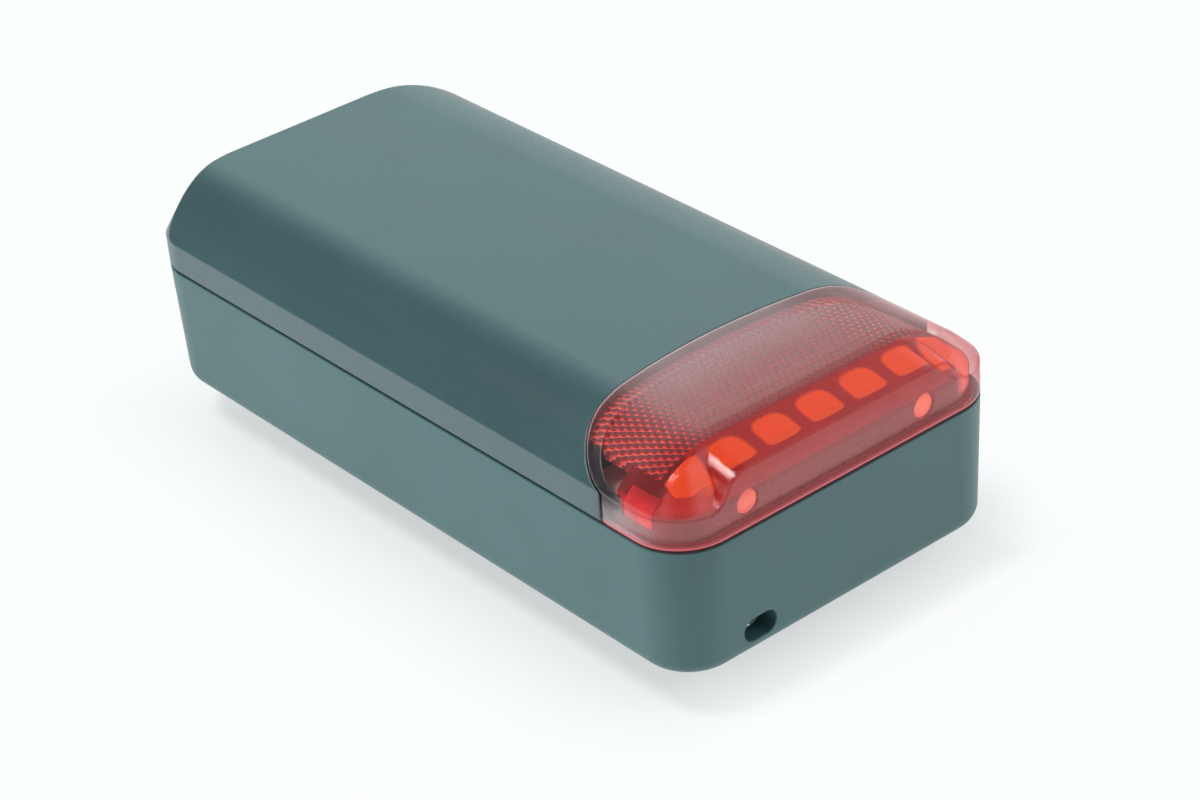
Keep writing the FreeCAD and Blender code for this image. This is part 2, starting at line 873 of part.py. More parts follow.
def make_chassis():
    plate = box(board_x0, board_x1, -chassis_half, chassis_half, chassis_z, chassis_top_z)
    window_x = chassis_window_gap / 2
    half = chassis_window_width / 2
    for side in (-1, 1):
        near = radar_centre_x + side * window_x
        far = radar_centre_x + side * (window_x + chassis_window_length)
        x0, x1 = sorted((near, far))
        plate = plate.cut(box(x0, x1, -half, half, chassis_z, chassis_top_z))
    skirts = [
        box(board_x0, battery_x1, skirt_inner, skirt_outer, skirt_z, chassis_z),
        box(board_x0, battery_x1, -skirt_outer, -skirt_inner, skirt_z, chassis_z),
    ]
    studs = [post(x, y, chassis_z, board_z, board_stud_r) for x, y in board_screw_points]
    body = fused([plate, *skirts, *studs])
    relief = case_boss_r + chassis_play
    cuts = [post(x, y, chassis_z, board_z, relief) for x, y in case_screw_points[2:]]
    cuts += [post(x, y, board_z - board_screw_bite, board_z, board_screw_r) for x, y in board_screw_points]
    return cut_all(body, cuts)


def make_main_board():
    plate = box(board_x0, board_x1, -board_half, board_half, board_z, board_top_z)
    tongue_x = bulkhead_x + chassis_play
    tongue = box(tongue_x, board_x0, -board_tongue_half, board_tongue_half, board_z, board_top_z)
    board = fused([plate, tongue])
    relief = case_boss_r + chassis_play
    cuts = [post(x, y, board_z, board_top_z, relief) for x, y in case_screw_points[2:]]
    cuts += [post(x, y, board_z, board_top_z, board_screw_r + hole_play) for x, y in board_screw_points]
    return cut_all(board, cuts)


def make_components():
    z0 = board_top_z
    solids = []
    for datum, rows in ((radar_centre_x, middle_components), (radar_x1, end_components)):
        for dx, y, length, width, height in rows:
            x0 = datum + dx - length / 2
            y0 = y - width / 2
            solids.append(box(x0, x0 + length, y0, y0 + width, z0, z0 + height))
    return Part.makeCompound(solids)


def make_board_connector():
    x = radar_centre_x + connector_shift
    height = radar_z - board_top_z
    joint_z = board_top_z + height * connector_socket_share
    half = connector_width / 2
    reach = connector_length / 2
    socket = box(x - half, x + half, -reach, reach, board_top_z, joint_z)
    narrow = half - connector_shoulder
    plug = box(x - narrow, x + narrow, connector_shoulder - reach, reach - connector_shoulder, joint_z, radar_z)
    return Part.makeCompound([socket, plug])


def make_spacers():
    solids = []
    for x, y in board_screw_points:
        turns = [math.radians(60 * step) for step in range(7)]
        corners = [vec(x + spacer_r * math.cos(a), y + spacer_r * math.sin(a), board_top_z) for a in turns]
        hexagon = prism([Part.makePolygon(corners)], vec(0, 0, radar_z - board_top_z))
        solids.append(hexagon.cut(post(x, y, board_top_z, radar_z, board_screw_r + hole_play)))
    return Part.makeCompound(solids)


def make_radar_board():
    half = radar_board_width / 2
    board = box(battery_x0, radar_x1, -half, half, radar_z, radar_top_z)
    holes = [post(x, y, radar_z, radar_top_z, board_screw_r + hole_play) for x, y in board_screw_points]
    return cut_all(board, holes)


def make_patches():
    solids = []
    for column_index in range(patch_columns):
        for row in range(patch_rows):
            x = radar_centre_x + (column_index - (patch_columns - 1) / 2) * patch_pitch - patch_size / 2
            y = (row - (patch_rows - 1) / 2) * patch_pitch - patch_size / 2
            solids.append(
                box(x, x + patch_size, y, y + patch_size, radar_top_z, radar_top_z + patch_thickness)
            )
    return Part.makeCompound(solids)


def make_shield():
    x0 = radar_centre_x - shield_length / 2
    half = shield_width / 2
    z0 = radar_z - shield_height
    can = box(x0, x0 + shield_length, -half, half, z0, radar_z)
    inner = half - shield_wall
    return can.cut(
        box(x0 + shield_wall, x0 + shield_length - shield_wall, -inner, inner, z0 + shield_wall, radar_z)
    )


def make_usb():
    body = capsule_x(0, usb_z, usb_width, usb_height, pocket_x, usb_x1)
    mouth = capsule_x(
        0, usb_z, usb_width - 2 * usb_wall, usb_height - 2 * usb_wall, pocket_x, usb_x1 - usb_back_wall
    )
    half = usb_blade_width / 2
    thick = usb_blade_thickness / 2
    blade = box(pocket_x + usb_blade_setback, usb_x1 - usb_back_wall, -half, half, usb_z - thick, usb_z + thick)
    return fused([body.cut(mouth), blade])


def make_door(outside):
    half = door_width / 2
    blank = box(-far_side, door_inner_x, -half, half, hinge_z, door_top_z)
    top_edges = [e for e in blank.Edges if e.BoundBox.ZMin > door_top_z - 0.1 and e.BoundBox.XLength > 1]
    plate = blank.makeFillet(door_corner_r, top_edges).common(outside)
    knuckle = rod_y(hinge_x, -half, half, hinge_z, door_knuckle_r)
    plug = capsule_x(
        0, usb_z, door_plug_length, door_plug_width, door_inner_x, door_inner_x + door_plug_height
    )
    pin_hole = rod_y(hinge_x, -half, half, hinge_z, door_pin_r + door_pin_play)
    return fused([plate, knuckle, plug]).cut(pin_hole).cut(make_nail_notch())


def make_door_pin():
    grip = door_width / 2 + door_pin_grip
    return rod_y(hinge_x, -grip, grip, hinge_z, door_pin_r)


def make_button():
    cap = capsule_y(button_x, button_z, button_length, button_width, flange_inner_y, button_face_y)
    flange_length = button_length + 2 * button_flange
    flange_width = button_width + 2 * button_flange
    flange = capsule_y(button_x, button_z, flange_length, flange_width, flange_inner_y, flange_outer_y)
    stem = rod_y(button_x, plunger_tip_y + stem_gap, flange_inner_y, button_z, button_stem_r)
    return fused([cap, flange, stem])


def make_seal_blank(play):
    """Outer form of the ring that seals the button, in its groove in the wall."""
    grow = 2 * (button_seal_width - play)
    y1 = half_width - wall_shift(button_z) - button_seal_setback
    return capsule_y(
        button_x, button_z, button_length + grow, button_width + grow, y1 - button_seal_depth, y1
    )


def make_button_seal():
    blank = make_seal_blank(0)
    inner_length = button_length + 2 * button_seal_play
    inner_width = button_width + 2 * button_seal_play
    return blank.cut(capsule_y(button_x, button_z, inner_length, inner_width, flange_outer_y, button_face_y))


def make_switch_board():
    z1 = chassis_z - switch_board_drop
    return box(switch_board_x0, switch_board_x1, skirt_outer, switch_board_y, skirt_z, z1)


def make_switch():
    half = switch_size / 2
    body = box(button_x - half, button_x + half, switch_board_y, switch_top_y, button_z - half, button_z + half)
    socket_y = plunger_tip_y - button_travel - plunger_tail - button_travel - plunger_play
    return body.cut(rod_y(button_x, socket_y, switch_top_y, button_z, plunger_r + plunger_play))


def make_plunger():
    return rod_y(button_x, switch_top_y - plunger_tail, plunger_tip_y, button_z, plunger_r)


def make_status_led():
    half = status_led_size / 2
    y1 = switch_board_y + status_led_thickness
    return box(status_x - half, status_x + half, switch_board_y, y1, button_z - half, button_z + half)


def make_light_pipe():
    y0 = switch_board_y + status_led_thickness + light_pipe_gap
    return rod_y(status_x, y0, half_width - wall_shift(button_z), button_z, light_pipe_r)


def make_mount():
    """Flange, round neck and two locking wings of a quarter-turn fitting."""
    flange = post(0, 0, back_z - mount_flange_thickness, back_z, mount_flange_r)
    neck = post(0, 0, 0, back_z - mount_flange_thickness, mount_neck_r)
    wings = []
    for middle in (math.pi / 2, -math.pi / 2):
        ends = [middle - mount_wing_half_angle, middle, middle + mount_wing_half_angle]
        rim = [vec(mount_wing_r * math.cos(a), mount_wing_r * math.sin(a), 0) for a in ends]
        centre = vec(0, 0, 0)
        edges = [line(centre, rim[0]), arc(*rim), line(rim[2], centre)]
        wing = prism(edges, vec(0, 0, mount_wing_thickness))
        wings.append(wing.cut(post(rim[1].x, rim[1].y, 0, mount_wing_thickness, mount_detent_r)))
    body = fused([flange, neck, *wings])
    cuts = []
    head_z = back_z - mount_flange_thickness + mount_screw_head_height
    for x, y in mount_screw_points:
        cuts.append(post(x, y, 0, back_z, mount_screw_r + hole_play))
        cuts.append(post(x, y, 0, head_z, mount_screw_head_r + hole_play))
    return cut_all(body, cuts)


def make_vent():
    z0 = back_z + vent_recess - vent_thickness
    return post(vent_x, vent_y, z0, z0 + vent_thickness, vent_r - vent_play)


def make_parts():
    housing_outside = make_housing_outside()
    lens_outside = lens_form(0, shell_z)
    bezel_outside = lens_form(bezel_inset, shell_z)
    bezel_inside = lens_form(bezel_back, shell_z)
    return {
        "rear_housing": make_rear_housing(housing_outside),
        "front_cover": make_front_cover(),
        "lens": make_lens(lens_outside),
        "housing_seal": make_housing_seal(),
        "reflex_reflector": make_reflector(),
        "led_bezel": make_bezel(bezel_outside, bezel_inside),
        "led_diffuser": make_diffuser(bezel_outside),
        "side_light_guides": make_side_guides(bezel_outside),
        "bezel_studs": Part.makeCompound(stud_rods(stud_r)),
        "led_board": light_plate(led_board_z, led_top_z),
        "led_heat_spreader": light_plate(spreader_z, led_board_z),
        "leds": make_leds(),
        "led_screws": screw_group(
            led_screw_points,
            led_top_z,
            spreader_z - led_screw_bite,
            board_screw_r,
            board_screw_head_r,
            board_screw_head_height,
        ),
        "led_ribbon_cable": make_ribbon(),
        "battery": make_battery(),
        "battery_foam": make_foam(),
        "inner_chassis": make_chassis(),
        "main_board": make_main_board(),
        "board_components": make_components(),
        "board_connector": make_board_connector(),
        "radar_spacers": make_spacers(),
        "radar_board": make_radar_board(),
        "patch_antennas": make_patches(),
        "radar_shield": make_shield(),
        "board_screws": screw_group(
            board_screw_points,
            radar_top_z,
            board_z - board_screw_bite,
            board_screw_r,
            board_screw_head_r,
            board_screw_head_height,
        ),
        "usb_connector": make_usb(),
        "usb_door": make_door(housing_outside),
        "usb_door_pin": make_door_pin(),
        "power_button": make_button(),
        "button_seal": make_button_seal(),
        "switch_board": make_switch_board(),
        "tact_switch": make_switch(),
        "switch_plunger": make_plunger(),
        "status_led": make_status_led(),
        "status_light_pipe": make_light_pipe(),
        "quarter_turn_mount": make_mount(),
        "mount_screws": screw_group(
            mount_screw_points,
            back_z - mount_flange_thickness + mount_screw_head_height,
            back_z + mount_screw_depth,
            mount_screw_r,
            mount_screw_head_r,
            mount_screw_head_height,
        ),
        "case_screws": screw_group(
            case_screw_points,
            back_z + case_counterbore,
            split_z + case_screw_grip,
            case_screw_r,
            case_screw_head_r,
            case_screw_head_height,
        ),
        "vent_membrane": make_vent(),
    }


os.makedirs("parts", exist_ok=True)
for name, shape in make_parts().items():
    shape.exportStep(os.path.join("parts", name + ".step"))
    bounds = shape.BoundBox
    print(name, len(shape.Solids), "solids", round(shape.Volume, 1), "mm3", shape.isValid())
    print("   x", round(bounds.XMin, 2), round(bounds.XMax, 2), "y", round(bounds.YMin, 2),
          round(bounds.YMax, 2), "z", round(bounds.ZMin, 2), round(bounds.ZMax, 2))
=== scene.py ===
import json
import math

import bmesh
import bpy
import numpy as np
from bpy.props import FloatProperty, FloatVectorProperty, PointerProperty
from mathutils import Matrix, Vector


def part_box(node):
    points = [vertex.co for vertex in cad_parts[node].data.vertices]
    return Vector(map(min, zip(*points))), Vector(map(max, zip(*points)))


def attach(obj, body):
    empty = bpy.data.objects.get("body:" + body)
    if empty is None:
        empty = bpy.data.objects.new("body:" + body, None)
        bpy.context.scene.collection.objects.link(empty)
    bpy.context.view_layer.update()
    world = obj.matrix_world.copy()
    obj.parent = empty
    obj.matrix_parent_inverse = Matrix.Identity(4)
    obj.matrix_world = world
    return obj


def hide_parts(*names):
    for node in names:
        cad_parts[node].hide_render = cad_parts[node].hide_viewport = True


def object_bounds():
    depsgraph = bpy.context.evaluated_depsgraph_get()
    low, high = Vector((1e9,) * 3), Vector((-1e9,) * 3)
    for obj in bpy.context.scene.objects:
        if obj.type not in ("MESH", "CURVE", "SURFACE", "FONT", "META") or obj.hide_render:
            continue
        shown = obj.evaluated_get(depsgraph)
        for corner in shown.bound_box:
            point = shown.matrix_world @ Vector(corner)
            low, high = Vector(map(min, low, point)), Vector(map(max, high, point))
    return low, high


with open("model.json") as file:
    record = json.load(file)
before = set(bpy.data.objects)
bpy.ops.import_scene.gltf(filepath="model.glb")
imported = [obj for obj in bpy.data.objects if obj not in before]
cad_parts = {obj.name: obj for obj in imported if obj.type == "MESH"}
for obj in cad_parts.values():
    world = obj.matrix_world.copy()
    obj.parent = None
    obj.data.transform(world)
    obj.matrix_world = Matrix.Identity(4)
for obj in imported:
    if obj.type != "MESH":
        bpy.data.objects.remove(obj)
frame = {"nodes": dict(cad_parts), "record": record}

bl_info = {
    "name": "Radar tail light",
    "version": (1, 0, 0),
    "blender": (4, 5, 0),
    "location": "3D View > Sidebar > Tail light",
    "description": "Dresses the radar tail light: lens, prism field, finishes and studio",
    "category": "Object",
}

# Places that come from the frame, in metres
BOX_LOW, BOX_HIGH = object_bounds()
REFLECTOR_LOW, REFLECTOR_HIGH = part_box("reflex_reflector")
LENS_FOOT_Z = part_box("lens")[0][2]
BUTTON_LOW, BUTTON_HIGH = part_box("power_button")
STUDS_LOW, STUDS_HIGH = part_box("bezel_studs")

# The crown of the case, in millimetres: flat top, round shoulders and bowed seam. The wide arc of
# the seam meets a smaller one at each side, at SEAM_JOIN_Y off the middle.
MM = 1000
FLAT_HALF = 13.4523
SHOULDER_R = 13.26
SHOULDER_CENTRE_Z = 17.54
SEAM_MIDDLE_X = 27.5
SEAM_SIDE_X = 38.67
SEAM_SIDE_Y = 14.98
SEAM_SIDE_R = 9.4
SEAM_RUN = SEAM_SIDE_X - SEAM_MIDDLE_X
BOW_R = (SEAM_RUN**2 + SEAM_SIDE_Y**2 - SEAM_SIDE_R**2) / (2 * (SEAM_RUN - SEAM_SIDE_R))
BOW_X = SEAM_MIDDLE_X + BOW_R
SEAM_JOIN_Y = 17.1
REFLECTOR_INSET = 1.32
REFLECTOR_THICKNESS = 1.2
SEAM_BORDER = 1.75

# Where the finishes, the painted glow and the painted shade change on the light end, in metres
SEAM_EDGE_X = 0.0372
LIP_FOOT_Z = 0.0234
FRONT_X = 0.0403
BROW_FOOT_Z = 0.0255
LENS_BROW_Z = 0.0259
FAR_CORNER_Y = 0.0205
# The guides' pockets take painted shade; the left and right glow zones take painted glow on the
# bezel's corners.
POCKET_X, POCKET_Y, POCKET_Z = 0.0437, 0.01685, 0.0254
LEFT_GLOW_Y, LEFT_GLOW_Z = -0.0170, 0.0251
RIGHT_GLOW_Y, RIGHT_GLOW_Z = 0.01875, 0.0230
GUIDE_TOP_Z = 0.02575
WINDOW_PITCH = 0.00635
WINDOW_HALF = 0.00236
WINDOW_HALF_LENGTH = 0.00198
WINDOW_X = 0.0449
CORNER_WINDOW_Y = 0.0182
CORNER_WINDOW_SHIFT = 0.0003
LAST_WINDOW_EDGE_Y = 0.01505
SIGN_RADIUS = 0.0013

BLACK = (0.0, 0.0, 0.0)


def colour_property(name, description, default):
    """A colour that a user would change, written in linear light."""
    return FloatVectorProperty(
        name=name, description=description, default=default, subtype="COLOR", size=3,
        min=0.0, max=1.0,
    )


def length_property(name, description, default):
    """A length in metres that a user would change."""
    return FloatProperty(
        name=name, description=description, default=default, min=0.0, unit="LENGTH", precision=5
    )


class TailLightSizes(bpy.types.PropertyGroup):
    """Sizes of the reflector's prisms"""

    prism_pitch: length_property(
        "Prism pitch", "Distance between the prisms of the reflector", 0.00095
    )
    prism_depth: length_property("Prism depth", "Depth of one prism", 0.00045)


class TailLightColours(bpy.types.PropertyGroup):
    """Colours of the plastics and the table"""

    housing: colour_property(
        "Housing", "Moulded plastic of the rear housing", (0.062, 0.142, 0.148)
    )
    cover: colour_property("Cover", "Moulded plastic of the radar cover", (0.025, 0.080, 0.090))
    reflector: colour_property("Reflector", "Red plastic of the prisms", (0.62, 0.030, 0.025))
    bezel: colour_property("Bezel", "Red plastic round the light windows", (0.30, 0.006, 0.008))
    diffuser: colour_property(
        "Diffuser", "Orange-red plastic in the light windows", (0.80, 0.095, 0.006)
    )
    guide: colour_property(
        "Light guide", "Red plastic that shines to the sides", (0.66, 0.020, 0.026)
    )
    stud: colour_property("Stud", "Orange plastic of the studs", (0.90, 0.14, 0.08))
    floor: colour_property("Floor", "Table and backdrop", (0.955, 0.985, 0.98))


class Sock:
    """A shader socket. A sum, product or power of it adds a Math node."""

    def __init__(self, shader, socket):
        self.shader = shader
        self.socket = socket

    def __add__(self, other):
        return self.shader.calc("ADD", self, other)

    def __radd__(self, other):
        return self.shader.calc("ADD", other, self)

    def __sub__(self, other):
        return self.shader.calc("SUBTRACT", self, other)

    def __rsub__(self, other):
        return self.shader.calc("SUBTRACT", other, self)

    def __mul__(self, other):
        return self.shader.calc("MULTIPLY", self, other)

    def __rmul__(self, other):
        return self.shader.calc("MULTIPLY", other, self)

    def __truediv__(self, other):
        return self.shader.calc("DIVIDE", self, other)

    def __pow__(self, other):
        return self.shader.calc("POWER", self, other)

    def __abs__(self):
        return self.shader.calc("ABSOLUTE", self)


class Shader:
    """One node material: node() adds any node, and its values or links go in by socket."""

    def __init__(self, name):
        self.material = bpy.data.materials.new(name)
        self.material.use_nodes = True
        self.tree = self.material.node_tree
        self.tree.nodes.clear()
        self.output = self.tree.nodes.new("ShaderNodeOutputMaterial")

    def node(self, kind, settings=None, *values, out=0, **named):
        made = self.tree.nodes.new(kind)
        for key, value in (settings or {}).items():
            if key == "stops":
                self._stops(made.color_ramp, value)
            else:
                setattr(made, key, value)
        pairs = list(enumerate(values)) + [(key.replace("_", " "), v) for key, v in named.items()]
        for key, value in pairs:
            self.feed(made.inputs[key], value)
        return Sock(self, made.outputs[out])

    @staticmethod
    def _stops(ramp, stops):
        while len(ramp.elements) < len(stops):
            ramp.elements.new(0.5)
        for element, (place, colour) in zip(ramp.elements, stops):
            element.position = place
            element.color = colour if len(colour) == 4 else (*colour, 1)

    def feed(self, socket, value):
        if isinstance(value, Sock):
            self.tree.links.new(value.socket, socket)
        elif value is not None:
            held = socket.default_value
            if hasattr(held, "__len__") and len(held) == 4 and len(value) == 3:
                value = (*value, 1)
            socket.default_value = value

    def place(self):
        """Object coordinates, in metres."""
        return self.node("ShaderNodeTexCoord", None, out="Object")

    def calc(self, operation, *values):
        """One Math node."""
        return self.node("ShaderNodeMath", {"operation": operation}, *values)

    def parts(self, vector):
        """The three numbers of a vector."""
        split = self.tree.nodes.new("ShaderNodeSeparateXYZ")
        self.feed(split.inputs[0], vector)
        return [Sock(self, socket) for socket in split.outputs]

    def noise(self, scale, detail=3.0, roughness=0.5, vector=None):
        """Noise whose grains are about 1 / scale metres."""
        return self.node(
            "ShaderNodeTexNoise", None, vector or self.place(),
            Scale=scale, Detail=detail, Roughness=roughness,
        )

    def ramp(self, value, *stops):
        """A value turned into a colour or number by stops of (place, colour)."""
        return self.node("ShaderNodeValToRGB", {"stops": stops}, value)

    def between(self, value, low, high, to_low=0.0, to_high=1.0):
        """A value moved from one range to another, held at the ends."""
        return self.node("ShaderNodeMapRange", {"clamp": True}, value, low, high, to_low, to_high)

    def above(self, value, level, soft):
        """1 above a level and 0 below it, turning within the soft width on each side."""
        return self.between(value, level - soft, level + soft)

    def below(self, value, level, soft):
        """1 below a level and 0 above it, turning within the soft width on each side."""
        return self.between(value, level - soft, level + soft, 1.0, 0.0)

    def mix(self, factor, a, b):
        """Two colours mixed."""
        made = self.tree.nodes.new("ShaderNodeMix")
        made.data_type = "RGBA"
        self.feed(made.inputs[0], factor)
        self.feed(made.inputs[6], a)
        self.feed(made.inputs[7], b)
        return Sock(self, made.outputs[2])

    def bump(self, height, strength, distance, edge=None):
        """Relief from a height in metres, on edges that may be rounded."""
        return self.node(
            "ShaderNodeBump", None,
            Height=height, Strength=strength, Distance=distance, Normal=edge,
        )

    def rounded(self, radius):
        """The normal of a surface whose edges are rounded."""
        return self.node("ShaderNodeBevel", {"samples": 6}, Radius=radius)

    def turned(self, radius):
        """How far the rounded normal turns away from the flat one: 1 - cosine, near edges only."""
        flat = self.node("ShaderNodeNewGeometry", None, out="True Normal")
        return 1.0 - self.node(
            "ShaderNodeVectorMath", {"operation": "DOT_PRODUCT"}, self.rounded(radius), flat,
            out="Value",
        )

    def principled(self, **named):
        return self.node("ShaderNodeBsdfPrincipled", None, **named)

    def mixed(self, factor, a, b):
        """Two shaders mixed."""
        return self.node("ShaderNodeMixShader", None, factor, a, b)

    def finish(self, surface):
        self.feed(self.output.inputs[0], surface)
        return self.material


def shade(colour, factor):
    """A colour made darker or lighter."""
    return tuple(min(1.0, c * factor) for c in colour)


def moulded_plastic(
    name, colour, roughness=0.42, sheen=0.5, ior=1.5, sign=None, ink_and_painted_light=None, glow=0.0
):
    """Fine spark-eroded texture: a fine grain in the bump, a faint drift in the colour. A sign
    says where the surface shows a print or a painted look instead, which may glow as emission: on
    the cover's lip this is painted light."""
    s = Shader(name)
    drift = s.noise(60.0, 2.0)
    grain_height = s.noise(9000.0, 2.0, 0.6)
    shown = s.mix(s.between(drift, 0.3, 0.7), shade(colour, 0.94), shade(colour, 1.06))
    # Emission colour: the sign's colour may glow, which on the cover's lip is painted light.
    lit = BLACK
    if sign:
        where, print_and_painted_colour = sign(s), ink_and_painted_light(s)
        shown = s.mix(where, shown, print_and_painted_colour)
        lit = s.mix(where, lit, print_and_painted_colour)
    surface = s.principled(
        Base_Color=shown,
        Roughness=s.between(s.noise(2500.0, 2.0), 0.3, 0.7, roughness - 0.04, roughness + 0.04),
        Specular_IOR_Level=sheen,
        IOR=ior,
        Emission_Color=lit,
        Emission_Strength=glow,
        Normal=s.bump(grain_height, 0.10, 0.00006, s.rounded(0.0003)),
    )
    return s.finish(surface)


def past_bow(x, y):
    """How far a point lies past the wide arc of the seam: the arc's radius less the distance
    to its middle."""
    ahead = x - BOW_X / MM
    return BOW_R / MM - (ahead * ahead + y * y) ** 0.5


def past_seam(s, x, off):
    """How far a point lies past the bowed seam: the radius less the distance to the middle, on
    the wide arc or, near the sides, on the arc there."""
    wide = past_bow(x, off)
    ahead, beside = x - SEAM_SIDE_X / MM, off - SEAM_SIDE_Y / MM
    side = SEAM_SIDE_R / MM - (ahead * ahead + beside * beside) ** 0.5
    return wide + (side - wide) * s.above(off, SEAM_JOIN_Y / MM, 0.0001)


def lip_shown(s):
    """Where the cover's lip and cut edge show through the lens."""
    x, y, z = s.parts(s.place())
    past_edge = s.above(past_seam(s, x, abs(y)), -0.00001, 0.00003)
    return past_edge * s.above(z, LIP_FOOT_Z, 0.0002)


def prism_painted_light(s, colour):
    """The prisms' colours, from the place of a point in its cell of the honeycomb: painted light
    and shade, in place of the light that the facets throw back. They differ less on the flat top,
    where the painted contrast is lower.

    The place across the crown is measured along its section. The honeycomb is made of two
    rectangular lattices, and the nearer centre counts. Each cell is painted dark, with a painted
    highlight that is brightest towards its lower corner.
    """
    pitch = bpy.context.scene.taillight_sizes.prism_pitch
    step, ring = pitch * math.sqrt(3) / 2, pitch / math.sqrt(3)
    x, y, z = s.parts(s.place())
    off, flat = abs(y), FLAT_HALF / MM
    turned = s.calc("ARCTAN2", s.calc("MAXIMUM", off - flat, 0.0), z - SHOULDER_CENTRE_Z / MM)
    across = s.calc("MINIMUM", off, flat) + turned * ((SHOULDER_R - REFLECTOR_INSET) / MM)
    across = across * s.calc("SIGN", y)
    ahead = x - REFLECTOR_HIGH[0]
    u_a, v_a = s.calc("WRAP", ahead, step, -step), s.calc("WRAP", across, pitch / 2, -pitch / 2)
    u_b = s.calc("WRAP", ahead + step, step, -step)
    v_b = s.calc("WRAP", across + pitch / 2, pitch / 2, -pitch / 2)
    far_a, far_b = u_a * u_a + v_a * v_a, u_b * u_b + v_b * v_b
    nearer = s.calc("LESS_THAN", far_a, far_b)
    u, v = u_b + (u_a - u_b) * nearer, v_b + (v_a - v_b) * nearer
    far = s.calc("MINIMUM", far_a, far_b) ** 0.5
    towards_x, towards_y = 0.5, 0.866
    # Painted highlight: brighter towards each cell's rim and its lower corner.
    light = far * (0.20 / ring) + (u * towards_x - v * towards_y) * (0.5 / ring) + 0.30
    mean, top_edge, shoulder = 0.42, 0.0110, 0.0150
    contrast = s.between(off, top_edge, shoulder, 0.38, 1.0)
    level = s.between(off, top_edge, shoulder, 0.37, 0.45)
    dark, bright = (0.17, 0.065, 0.075), (1.0, 0.15, 0.13)
    stops = (0.20, dark), (0.42, shade(colour, 0.75)), (0.62, bright)
    return s.ramp((light - mean) * contrast + level, *stops)


def lip_painted_light(s):
    """The prisms' painted light and shade, carried on over the lip so that the honeycomb reaches
    the seam. The cut edge above the lip takes on their mean colour. Below the prisms the lip has
    painted shade, dark, on the left half, and painted light, pink, on the right."""
    x, y, z = s.parts(s.place())
    on_lip = s.above(past_seam(s, x, abs(y)), 0.00011, 0.00003)
    cells = prism_painted_light(s, tuple(bpy.context.scene.taillight_colours.reflector))
    upper = s.above(z, REFLECTOR_LOW[2], 0.0001)
    # Painted shade, dark, on the left of the lip below the prisms, and painted light, pink, on the
    # right.
    dark, painted_pink_light, mean_red = (0.010, 0.011, 0.020), (0.50, 0.20, 0.21), (0.19, 0.050, 0.052)
    lower_shade_and_light = s.mix(s.between(y, 0.0, 0.001), dark, painted_pink_light)
    return s.mix(upper, lower_shade_and_light, s.mix(on_lip, mean_red, cells))


def power_sign(s):
    """The usual power sign, printed on the button: a ring open at its top, with a bar in the
    opening. A point is on the ring where its distance to the middle is near the radius."""
    x, y, z = s.parts(s.place())
    across, up = (
        value - (BUTTON_LOW[axis] + BUTTON_HIGH[axis]) / 2 for value, axis in ((x, 0), (z, 2))
    )
    line, soft = SIGN_RADIUS * 0.11, SIGN_RADIUS * 0.05
    gap, bar_low, bar_high = line * 3.6, SIGN_RADIUS * 0.15, SIGN_RADIUS * 1.25
    off_ring = abs((across * across + up * up) ** 0.5 - SIGN_RADIUS)
    ring = s.between(off_ring, line, line + soft, 1.0, 0.0)
    opening = s.between(up, 0.0, soft) * s.between(abs(across), gap, gap + soft, 1.0, 0.0)
    bar = (
        s.between(abs(across), line, line + soft, 1.0, 0.0)
        * s.between(up, bar_low, bar_low + soft)
        * s.between(up, bar_high, bar_high + soft, 1.0, 0.0)
    )
    outer_face = s.above(y, BUTTON_HIGH[1] - 0.00035, 0.00005)
    return s.calc("MAXIMUM", ring * (1.0 - opening), bar) * outer_face


def rubber(name, colour, lit=None):
    """Matte rubber with a faint bloom. Where a lit colour is given, the cord in the joint takes it
    under the lens as a painted glow, shone as emission: painted light in place of the light end's
    red light there."""
    s = Shader(name)
    bloom = s.between(s.noise(900.0, 4.0), 0.35, 0.75)
    shown, glow = s.mix(bloom, colour, shade(colour, 1.5)), BLACK
    if lit:
        # Painted glow: the cord under the lens takes the lit colour as emission.
        x, _, _ = s.parts(s.place())
        under_lens = s.between(x, SEAM_EDGE_X, SEAM_EDGE_X + 0.0004)
        shown, glow = s.mix(under_lens, shown, lit), s.mix(under_lens, glow, lit)
    surface = s.principled(
        Base_Color=shown,
        Roughness=s.between(bloom, 0.0, 1.0, 0.62, 0.78),
        Emission_Color=glow,
        Emission_Strength=0.18 if lit else 0.0,
        Normal=s.bump(s.noise(7000.0), 0.15, 0.00005),
    )
    return s.finish(surface)


def metal(name, colour, roughness, scratch=0.08):
    """Plain metal: fine brushed lines along X and a faint stain."""
    s = Shader(name)
    x, y, z = s.parts(s.place())
    lines = s.node("ShaderNodeCombineXYZ", None, x * 300.0, y * 9000.0, z * 9000.0)
    brushed = s.noise(1.0, 2.0, vector=lines)
    stain = s.between(s.noise(700.0), 0.35, 0.7)
    surface = s.principled(
        Base_Color=s.mix(stain, colour, shade(colour, 0.86)),
        Metallic=1.0,
        Roughness=s.between(brushed, 0.3, 0.7, roughness - 0.05, roughness + 0.07),
        Normal=s.bump(brushed, scratch, 0.00003),
    )
    return s.finish(surface)


def circuit_board(name, colour):
    """Solder mask over copper tracks: lighter lines where the copper runs under it."""
    s = Shader(name)
    cells = s.node(
        "ShaderNodeTexVoronoi", {"distance": "CHEBYCHEV", "feature": "F1"}, s.place(), Scale=380.0
    )
    border, half_width, soft = 0.32, 0.02, 0.04
    tracks = s.between(abs(cells - border), half_width, half_width + soft, 1.0, 0.0)
    surface = s.principled(
        Base_Color=s.mix(tracks * 0.6, colour, shade(colour, 1.8)),
        Roughness=0.35,
        Normal=s.bump(tracks, 0.15, 0.00004),
    )
    return s.finish(surface)


